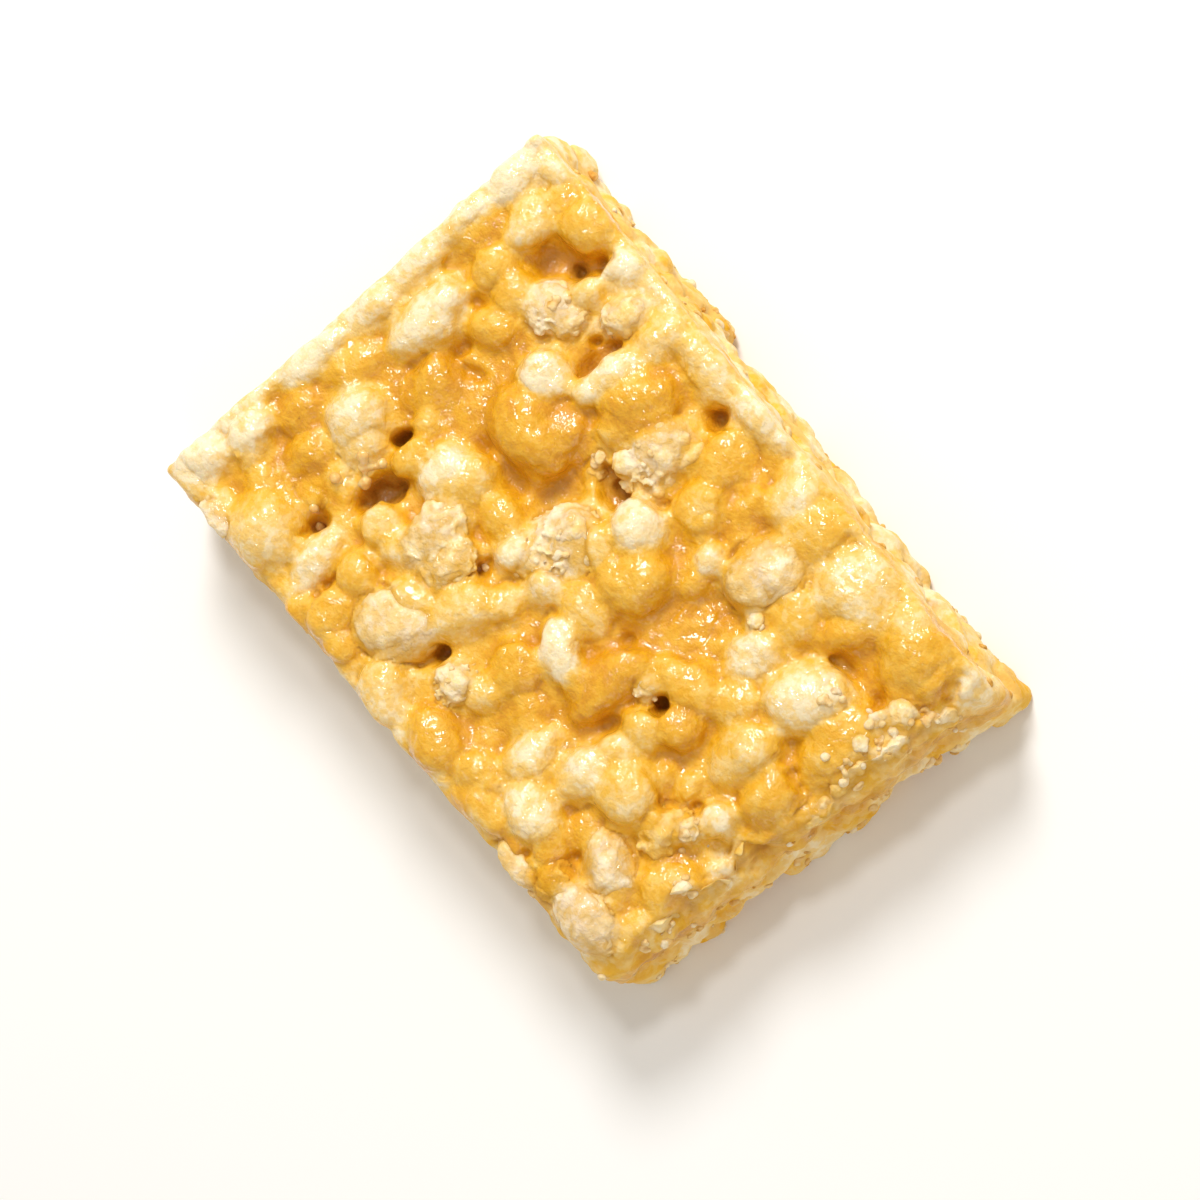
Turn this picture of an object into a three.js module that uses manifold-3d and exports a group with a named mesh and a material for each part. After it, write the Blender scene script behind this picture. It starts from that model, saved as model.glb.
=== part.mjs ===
// A knife-cut bar of puffed grains bound with melted marshmallow, lying on its flat underside.
// Millimetres, +Z up. The origin is the middle of the underside; +X runs along the bar.
import * as THREE from "three";
import { mergeVertices } from "three/addons/utils/BufferGeometryUtils.js";
import Module from "manifold-3d";

// Driving dimensions
const LENGTH = 77.1; // along X at the top face
const WIDTH = 54.2; // along Y at the top face, halfway along the bar
const MIDDLE = { x: 0.65, y: 1.2 }; // of the plan, in the axes that the grains' places are given in
const TAPER = 5; // the -X end is cut this much narrower than the +X end
const END_LEAN = 2.6; // how far the -X cut runs out of square
const LONG_EDGE_LEAN = 0.4; // how far the front edge runs out of line with X
const MEAN_TOP = 15.2; // the level that the melted binder settles at between the grains
const EDGE_RADIUS = 1.8; // the soft shoulder all round the top
const CORNER_RADIUS = 1; // the bar's upright corners
const WORN_CORNER_RADIUS = 3.4; // the (-X, +Y) corner, which is rubbed off
const CRUMBLED_SLOPE = 1.8; // the top edge of the -X end has crumbled back this far
const CRUMBLED_FROM = 0.6; // of the way up that wall
const NEAR_FLARE = 1.3; // the feet of the -X and -Y walls stand this much further out than their tops
const FAR_FLARE = 0.4; // and the feet of the other two

// Fineness of the faceted surface
const CELLS_X = 62;
const CELLS_Y = 43;
const CELLS_Z = 6;
const BLEND = 0.9; // radius of the binder's fillet between two grains
const TRIM_DEPTH = 1; // the slab starts this far below the table and is cut off flat at z = 0

// The grains that stand out of the top face: place, length, width, turn in degrees, height of the crown
const CROWNS = [
  [36.4, 25.4, 6.0, 6.6, 0, 16.9],
  [35.4, 18.9, 5.0, 5.4, 0, 16.3],
  [25.2, 25.4, 9.2, 8.0, 10, 16.7],
  [19.4, 23.0, 4.0, 8.4, 8, 15.0],
  [25.0, 16.8, 7.2, 6.6, 0, 14.6],
  [28.2, 9.6, 7.8, 7.2, 0, 16.5],
  [17.4, 5.6, 7.0, 7.0, 0, 16.3],
  [25.2, 0.6, 7.2, 7.8, 0, 15.2],
  [31.6, -4.0, 5.6, 8.8, 0, 16.6],
  [30.6, -12.4, 5.0, 5.4, 0, 16.1],
  [31.9, -18.8, 5.0, 6.6, 0, 16.5],
  [27.2, -23.2, 5.8, 5.6, 0, 16.3],
  [22.2, -14.8, 7.0, 5.0, 25, 16.5],
  [14.8, -5.4, 11.0, 9.8, 0, 16.9],
  [17.2, -20.6, 4.4, 5.4, 0, 16.1],
  [8.0, -14.8, 11.4, 9.8, 0, 17.2],
  [2.6, -13.6, 6.8, 9.2, 0, 16.3],
  [10.4, -22.6, 8.6, 6.0, 0, 16.3],
  [2.4, 1.2, 8.6, 11.0, -20, 16.5],
  [-4.4, -5.0, 11.8, 11.0, 0, 17.0],
  [-5.0, -14.0, 6.4, 6.6, 0, 16.1],
  [-14.3, -15.0, 7.2, 9.0, 0, 16.7],
  [-12.4, -22.4, 7.8, 6.6, 0, 16.6],
  [-21.4, -21.4, 10.0, 9.8, 0, 17.2],
  [-31.2, -21.0, 9.0, 9.4, 0, 16.6],
  [-17.4, -2.2, 8.4, 6.4, 0, 16.3],
  [-20.4, -9.2, 6.2, 7.2, 0, 16.0],
  [-27.2, -9.8, 7.0, 9.0, 0, 16.9],
  [-33.2, -9.2, 5.6, 9.8, 0, 16.1],
  [-27.2, -1.6, 5.6, 7.4, 0, 16.4],
  [-32.6, -0.4, 5.4, 7.8, 0, 15.8],
  [7.8, 19.8, 10.0, 8.0, 35, 16.9],
  [11.4, 10.4, 8.2, 7.8, 0, 16.5],
  [14.4, 24.8, 6.2, 6.0, 0, 16.0],
  [4.2, 12.4, 7.4, 8.0, 30, 16.3],
  [3.4, 25.8, 8.2, 5.6, 0, 15.9],
  [-2.6, 18.4, 6.4, 6.0, 0, 16.0],
  [-4.8, 24.0, 7.8, 6.4, 0, 16.1],
  [-6.4, 8.2, 8.2, 8.0, 20, 16.5],
  [-12.0, 5.2, 7.2, 10.0, 0, 16.6],
  [-12.6, 17.2, 5.8, 6.8, 0, 16.1],
  [-17.2, 20.4, 7.6, 6.2, 10, 16.7],
  [-16.6, 25.0, 8.8, 4.6, 0, 15.7],
  [-20.4, 12.2, 9.8, 7.4, 15, 17.0],
  [-19.6, 4.6, 6.6, 8.4, 0, 16.2],
  [-30.2, 23.6, 8.4, 6.2, 0, 16.5],
  [-27.4, 17.4, 7.8, 5.8, -20, 16.2],
  [-33.2, 14.0, 5.8, 7.0, 0, 15.9],
  [-28.4, 9.4, 5.4, 6.6, 0, 15.8],
];

// The gaps between grains: place, length, width, turn in degrees, depth below the binder
const GAPS = [
  [20.4, 13.2, 4.6, 7.4, 0, 6.0],
  [23.2, 20.4, 3.0, 5.2, -25, 4.5],
  [23.3, 7.2, 2.8, 3.8, 0, 4.0],
  [28.8, 0.2, 2.6, 4.8, 0, 3.6],
  [25.4, -19.2, 5.4, 3.6, 0, 4.2],
  [13.0, 0.2, 10.0, 3.8, 0, 3.2],
  [7.0, -4.0, 4.8, 9.0, 0, 3.2],
  [3.4, -8.0, 8.4, 4.0, -20, 4.6],
  [-1.4, -13.4, 2.8, 6.6, 0, 3.6],
  [2.0, -21.6, 6.2, 4.6, 0, 3.8],
  [4.4, 22.6, 6.2, 2.8, -40, 3.8],
  [2.6, 18.4, 2.8, 4.0, 0, 4.2],
  [-14.2, -8.4, 4.8, 6.4, 0, 3.0],
  [-17.8, 2.4, 2.4, 3.8, 0, 4.0],
  [-32.6, -15.4, 3.4, 3.6, 0, 3.4],
  [-36.0, -22.4, 3.4, 4.8, 0, 3.2],
  [-34.8, 6.6, 5.0, 3.2, 30, 4.6],
];

// Small grains that fill the face between the large ones, and the grains the knife went through
const FILLER = { count: 150, smallest: 3.6, largest: 6.2, lowest: 14.6, highest: 15.9 };
const CUT_GRAINS = { count: 120, smallest: 3.4, largest: 6.6, proud: 0.5, sunk: 0.9 };
const WAVE = { outline: 0.35, face: 0.35, pitch: 9 };

const HALF_LENGTH = LENGTH / 2;
const HALF_WIDTH = WIDTH / 2;
const RADIANS = Math.PI / 180;

// A repeatable stream of numbers from 0 to 1
function numberStream(seed) {
  let state = seed;
  return () => {
    state = (state * 1664525 + 1013904223) % 4294967296;
    return state / 4294967296;
  };
}

const mix = (a, b, t) => a + (b - a) * t;
const clamp = (value, low, high) => Math.min(Math.max(value, low), high);
const smoothStep = (t) => t * t * (3 - 2 * t);

// The larger of two heights, with a fillet of the given radius where they cross
function filletMax(a, b, radius) {
  const overlap = clamp(0.5 + (0.5 * (a - b)) / radius, 0, 1);
  return mix(b, a, overlap) + radius * overlap * (1 - overlap);
}

// A slow unevenness, from three crossed waves of unlike pitch
function swell(x, y) {
  const k = (2 * Math.PI) / WAVE.pitch;
  return (
    Math.sin(x * k + 1.3 * Math.sin(y * k * 0.6)) * 0.4 +
    Math.sin(y * k * 1.3 + 2.1) * 0.35 +
    Math.sin((x + y) * k * 0.55 + 0.7) * 0.25
  );
}

// Squared distance from a grain's middle, in grain radii
function inGrain(x, y, [gx, gy, length, width, turn]) {
  const c = Math.cos(turn * RADIANS);
  const s = Math.sin(turn * RADIANS);
  const along = ((x - gx) * c + (y - gy) * s) / (length / 2);
  const across = (-(x - gx) * s + (y - gy) * c) / (width / 2);
  return along * along + across * across;
}

function makeFiller() {
  const next = numberStream(71);
  const grains = [];
  for (let i = 0; i < FILLER.count; i++) {
    const size = mix(FILLER.smallest, FILLER.largest, next());
    grains.push([
      mix(-HALF_LENGTH, HALF_LENGTH, next()),
      mix(-HALF_WIDTH, HALF_WIDTH, next()),
      size,
      size * mix(0.75, 1, next()),
      next() * 180,
      mix(FILLER.lowest, FILLER.highest, next()),
    ]);
  }
  return grains;
}

const topGrains = CROWNS.concat(makeFiller());

// Height of the top face at a place in plan
function topHeight(x, y) {
  let height = MEAN_TOP - 1 + WAVE.face * swell(x, y);
  for (const grain of topGrains) {
    const q = inGrain(x, y, grain);
    if (q >= 1) continue;
    const rise = Math.min(grain[2], grain[3]) / 2;
    height = filletMax(height, grain[5] - rise * (1 - Math.sqrt(1 - q)), BLEND);
  }
  for (const gap of GAPS) {
    const q = inGrain(x, y, gap);
    if (q < 1) height -= gap[5] * smoothStep(1 - q);
  }
  return height;
}

// Grains that the knife cut or pushed in, spread over the unrolled walls: run round the bar, height, size, depth
function makeCutGrains(girth) {
  const next = numberStream(29);
  const grains = [];
  for (let i = 0; i < CUT_GRAINS.count; i++)
    grains.push({
      run: next() * girth,
      height: next() * MEAN_TOP,
      size: mix(CUT_GRAINS.smallest, CUT_GRAINS.largest, next()),
      depth: mix(-CUT_GRAINS.sunk, CUT_GRAINS.proud, next()),
    });
  return grains;
}

const girth = 4 * (HALF_LENGTH + HALF_WIDTH);
const cutGrains = makeCutGrains(girth);

// How far a wall stands out at a run round the bar and a height
function wallRelief(run, z) {
  let out = WAVE.outline * swell(run, z * 2);
  for (const grain of cutGrains) {
    const apart = Math.abs(run - grain.run);
    const across = Math.min(apart, girth - apart) / (grain.size / 2);
    const up = (z - grain.height) / (grain.size / 2);
    const q = across * across + up * up;
    if (q < 1) out += grain.depth * smoothStep(1 - q);
  }
  return out;
}

// The plan of the bar: x and y of a true rectangle laid onto its four cut edges
function planPlace(x, y) {
  const u = x / HALF_LENGTH;
  const v = y / HALF_WIDTH;
  const halfWidth = HALF_WIDTH + (u * TAPER) / 4;
  const leanIn = u < 0 ? (-u * v * END_LEAN) / 2 : 0;
  return [MIDDLE.x + x + leanIn, MIDDLE.y + v * halfWidth + (u * (TAPER / 2 - LONG_EDGE_LEAN)) / 2];
}

// Draws a corner of the plan in from square to an arc, and gives the way out of the wall there
function roundCorner(x, y, radius) {
  const dx = x - clamp(x, radius - HALF_LENGTH, HALF_LENGTH - radius);
  const dy = y - clamp(y, radius - HALF_WIDTH, HALF_WIDTH - radius);
  const far = Math.hypot(dx, dy);
  if (far === 0) return { x, y, outX: 0, outY: 0 };
  const pull = 1 - Math.max(Math.abs(dx), Math.abs(dy)) / far;
  return { x: x - dx * pull, y: y - dy * pull, outX: dx / far, outY: dy / far };
}

// The run round the bar of a point on its walls, from the middle of the +X wall by way of +Y
function runRound(x, y, onEnd) {
  if (onEnd) return x > 0 ? (y + girth) % girth : girth / 2 - y;
  return y > 0 ? girth / 4 - x : (girth * 3) / 4 + x;
}

// Where a point of the plain box goes on the finished bar
function shapePoint(point) {
  const u = point.x / HALF_LENGTH;
  const v = point.y / HALF_WIDTH;
  const rise = clamp(point.z / MEAN_TOP, 0, 1); // 0 at the table, 1 at the top face
  const reach = Math.max(Math.abs(u), Math.abs(v)); // 1 on the walls
  const onEnd = Math.abs(u) >= Math.abs(v);
  const round = roundCorner(point.x, point.y, u < 0 && v > 0 ? WORN_CORNER_RADIUS : CORNER_RADIUS);
  const relief = reach > 0.999 ? wallRelief(runRound(point.x, point.y, onEnd), point.z) : 0;
  const shoulder = Math.max(0, 1 - ((1 - rise) * MEAN_TOP) / EDGE_RADIUS);
  const out = relief - EDGE_RADIUS * 0.45 * shoulder * reach ** 8;
  const crumbled = u < 0 ? CRUMBLED_SLOPE * smoothStep(clamp((rise - CRUMBLED_FROM) / (1 - CRUMBLED_FROM), 0, 1)) : 0;
  const foot = (1 - rise) * reach ** 4;
  const [planX, planY] = planPlace(round.x, round.y);
  const x = planX + round.outX * (out + foot * (u < 0 ? NEAR_FLARE : FAR_FLARE) - crumbled * reach ** 8);
  const y = planY + round.outY * (out + foot * (v < 0 ? NEAR_FLARE : FAR_FLARE));
  if (point.z <= 0) return [x, y, point.z];
  const top = topHeight(x, y) - EDGE_RADIUS * 0.5 * reach ** 24;
  return [x, y, mix(point.z, (top * point.z) / MEAN_TOP, rise ** 3)];
}

// A closed mesh as a solid that can be cut
function solidFrom(wasm, geometry) {
  geometry.deleteAttribute("normal");
  geometry.deleteAttribute("uv");
  const merged = mergeVertices(geometry);
  return new wasm.Manifold(
    new wasm.Mesh({
      numProp: 3,
      vertProperties: merged.attributes.position.array,
      triVerts: new Uint32Array(merged.index.array),
    }),
  );
}

function geometryFrom(solid) {
  const mesh = solid.getMesh();
  const geometry = new THREE.BufferGeometry();
  geometry.setAttribute("position", new THREE.BufferAttribute(mesh.vertProperties, 3));
  geometry.setIndex(new THREE.BufferAttribute(mesh.triVerts, 1));
  geometry.computeVertexNormals();
  return geometry;
}

// The whole bar: a box of many cells, shaped point by point, then cut off flat at the table
function makeBar(wasm) {
  const depth = MEAN_TOP + TRIM_DEPTH;
  const box = new THREE.BoxGeometry(LENGTH, WIDTH, depth, CELLS_X, CELLS_Y, CELLS_Z);
  box.translate(0, 0, MEAN_TOP - depth / 2);
  const places = box.attributes.position;
  const point = new THREE.Vector3();
  for (let i = 0; i < places.count; i++) {
    point.fromBufferAttribute(places, i);
    places.setXYZ(i, ...shapePoint(point));
  }
  const above = new THREE.BoxGeometry(LENGTH * 2, LENGTH * 2, LENGTH);
  above.translate(0, 0, LENGTH / 2);
  return geometryFrom(solidFrom(wasm, box).intersect(solidFrom(wasm, above)));
}

const wasm = await Module();
wasm.setup();

const glazedGrain = new THREE.MeshStandardMaterial({ color: 0xf3c874, roughness: 0.35, metalness: 0 });
const bar = new THREE.Mesh(makeBar(wasm), glazedGrain);
bar.name = "treat_bar";
bar.geometry.computeBoundingBox();
const extent = bar.geometry.boundingBox;
bar.position.set(-(extent.min.x + extent.max.x) / 2, -(extent.min.y + extent.max.y) / 2, 0);

const treat = new THREE.Group();
treat.add(bar);

export default treat;
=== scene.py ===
import math
import random

import bmesh
import bpy
import numpy as np
from mathutils import Euler, Matrix, Vector
from mathutils.bvhtree import BVHTree


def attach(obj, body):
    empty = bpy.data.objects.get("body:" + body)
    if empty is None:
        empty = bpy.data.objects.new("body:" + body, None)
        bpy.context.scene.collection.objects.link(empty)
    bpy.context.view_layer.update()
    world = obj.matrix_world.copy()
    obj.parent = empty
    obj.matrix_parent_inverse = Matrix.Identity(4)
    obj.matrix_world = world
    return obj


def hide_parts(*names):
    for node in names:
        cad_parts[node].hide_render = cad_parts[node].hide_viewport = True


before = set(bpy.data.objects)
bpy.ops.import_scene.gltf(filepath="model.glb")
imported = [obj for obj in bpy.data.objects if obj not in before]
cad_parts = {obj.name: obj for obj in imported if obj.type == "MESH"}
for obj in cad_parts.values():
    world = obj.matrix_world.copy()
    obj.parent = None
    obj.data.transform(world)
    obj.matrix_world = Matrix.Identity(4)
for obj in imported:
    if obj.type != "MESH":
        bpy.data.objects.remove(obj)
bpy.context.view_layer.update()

mm = 0.001  # the bar is modelled in millimetres and brought to metres when a piece is finished

# the bar as it was cut: sizes at the top face, the same as the solid's
bar = {
    "length": 77.1,
    "width": 54.2,
    "middle": (0.65, 1.2),  # of the plan, in the axes that the grains' places are given in
    "taper": 5.0,  # the -X end is this much narrower
    "endLean": 2.6,  # the -X cut runs out of square
    "longEdgeLean": 0.4,
    "meanTop": 15.2,
    "cornerRadius": 1.0,
    "wornCornerRadius": 1.8,  # the (-X, +Y) corner
    "flare": (1.3, 0.4, 1.3, 0.4),  # the feet of the -Y, +Y, -X and +X walls stand out this much
    "rim": (1.3, 0.2, -1.2, 1.4),  # the glaze stands higher, or falls away, along their top edges
    "bevel": (0.25, 0.4, 2.7, 0.5),
    "shift": (0.236, -1.775),  # puts the middle of the bar's box on the origin
    "voxel": 0.26,
    "fillet": 0.38,  # radius of the melted marshmallow in the creases
    "mostTriangles": 196000,
}
halfLength = bar["length"] / 2
halfWidth = bar["width"] / 2


# small tools that every piece uses

def softNoise(points, size, seed):
    # smooth lattice noise from -1 to 1
    place = points / size + seed * 17.31
    cell = np.floor(place).astype(np.int64)
    part = place - cell
    part = part * part * (3 - 2 * part)
    total = np.zeros(len(points))
    for corner in range(8):
        step = np.array([corner & 1, corner >> 1 & 1, corner >> 2 & 1])
        code = (cell + step) @ np.array([374761393, 668265263, 1440662683])
        code = (code ^ (code >> 13)) * 1274126177
        code = code ^ (code >> 16)
        value = (code & 0xFFFF) / 32767.5 - 1
        total += value * np.prod(np.where(step, part, 1 - part), axis=1)
    return total


def addNoises(points, layers):
    # the sum of several noises, each with its size, seed and amount
    return sum(amount * softNoise(points, size, seed) for size, seed, amount in layers)


def roughNoise(points, size, seed, octaves):
    total = 0
    strength = 1
    for octave in range(octaves):
        total = total + strength * softNoise(points, size / 2**octave, seed + octave)
        strength *= 0.5
    return total


def smoothStep(value, low, high):
    t = np.clip((value - low) / (high - low), 0, 1)
    return t * t * (3 - 2 * t)


def readPoints(mesh):
    points = np.empty(len(mesh.vertices) * 3)
    mesh.vertices.foreach_get("co", points)
    return points.reshape(-1, 3)


def writePoints(mesh, points):
    mesh.vertices.foreach_set("co", points.astype(np.float32).ravel())
    mesh.update()


def readNormals(mesh):
    normals = np.empty(len(mesh.vertices) * 3)
    mesh.vertex_normals.foreach_get("vector", normals)
    return normals.reshape(-1, 3)


def readEdges(mesh):
    ends = np.empty(len(mesh.edges) * 2, dtype=np.int64)
    mesh.edges.foreach_get("vertices", ends)
    return ends.reshape(-1, 2)


def spreadOver(mesh, values, rounds):
    # averages a value per point with its neighbours, round after round
    ends = readEdges(mesh)
    both = np.concatenate([ends, ends[:, ::-1]])
    count = np.bincount(both[:, 0], minlength=len(values))
    out = np.array(values, dtype=float)
    columns = out.reshape(len(out), -1)
    for _ in range(rounds):
        for k in range(columns.shape[1]):
            near = np.bincount(both[:, 0], weights=columns[both[:, 1], k], minlength=len(out))
            columns[:, k] = 0.5 * columns[:, k] + 0.5 * near / np.maximum(count, 1)
    return columns.reshape(out.shape)


def addObject(name, bm):
    mesh = bpy.data.meshes.new(name)
    bm.to_mesh(mesh)
    bm.free()
    thing = bpy.data.objects.new(name, mesh)
    bpy.context.scene.collection.objects.link(thing)
    return thing


def applyModifiers(thing):
    ready = thing.evaluated_get(bpy.context.evaluated_depsgraph_get())
    mesh = bpy.data.meshes.new_from_object(ready)
    thing.modifiers.clear()
    old = thing.data
    thing.data = mesh
    bpy.data.meshes.remove(old)
    mesh.name = thing.name


def remesh(thing, voxel):
    skin = thing.modifiers.new("skin", "REMESH")
    skin.mode = "VOXEL"
    skin.voxel_size = voxel
    applyModifiers(thing)


def swell(thing, distance):
    mesh = thing.data
    writePoints(mesh, readPoints(mesh) + readNormals(mesh) * distance)


def joinInto(thing, others):
    bm = bmesh.new()
    for piece in [thing, *others]:
        bm.from_mesh(piece.data)
    bm.to_mesh(thing.data)
    bm.free()
    for piece in others:
        bpy.data.objects.remove(piece)


def dropSmallShells(thing, share):
    # a remesh leaves shells round the pockets shut inside the bar and a cut leaves scraps: what has less than
    # this share of the largest shell's points goes
    mesh = thing.data
    ends = readEdges(mesh)
    label = np.arange(len(mesh.vertices))
    while True:
        low = label.copy()
        np.minimum.at(low, ends[:, 0], label[ends[:, 1]])
        np.minimum.at(low, ends[:, 1], label[ends[:, 0]])
        low = low[low]
        if np.array_equal(low, label):
            break
        label = low
    names, sizes = np.unique(label, return_counts=True)
    small = np.isin(label, names[sizes < share * sizes.max()])
    bm = bmesh.new()
    bm.from_mesh(mesh)
    loose = [v for v in bm.verts if small[v.index]]
    bmesh.ops.delete(bm, geom=loose, context="VERTS")
    bm.to_mesh(mesh)
    bm.free()


# the plan of the bar

def wallDistances(x, y):
    # how far a place stands outside each of the four walls, at the top face: front, back, left, right
    u = (x - bar["middle"][0]) / halfLength
    v = (y - bar["middle"][1]) / halfWidth
    half = halfWidth + u * bar["taper"] / 4
    centre = bar["middle"][1] + u * (bar["taper"] / 2 - bar["longEdgeLean"]) / 2
    left = bar["middle"][0] - halfLength + v * bar["endLean"] / 2
    right = bar["middle"][0] + halfLength
    return np.stack([centre - half - y, y - centre - half, left - x, x - right])


wallWays = ((0, -1), (0, 1), (-1, 0), (1, 0))


def planPlace(x, y):
    # a place on a true rectangle, laid onto the four cut edges
    u = x / halfLength
    v = y / halfWidth
    newX = bar["middle"][0] + x + np.where(u < 0, -u, 0) * v * bar["endLean"] / 2
    half = halfWidth + u * bar["taper"] / 4
    newY = bar["middle"][1] + v * half + u * (bar["taper"] / 2 - bar["longEdgeLean"]) / 2
    return newX, newY


# the grains that stand out of the top face:
# place, length, width, turn from +X, height of the crown, tone (0 deep golden glaze, 1 bare cream) and kind:
# g glazed, d dry, c crumbled, f broken flake

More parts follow.
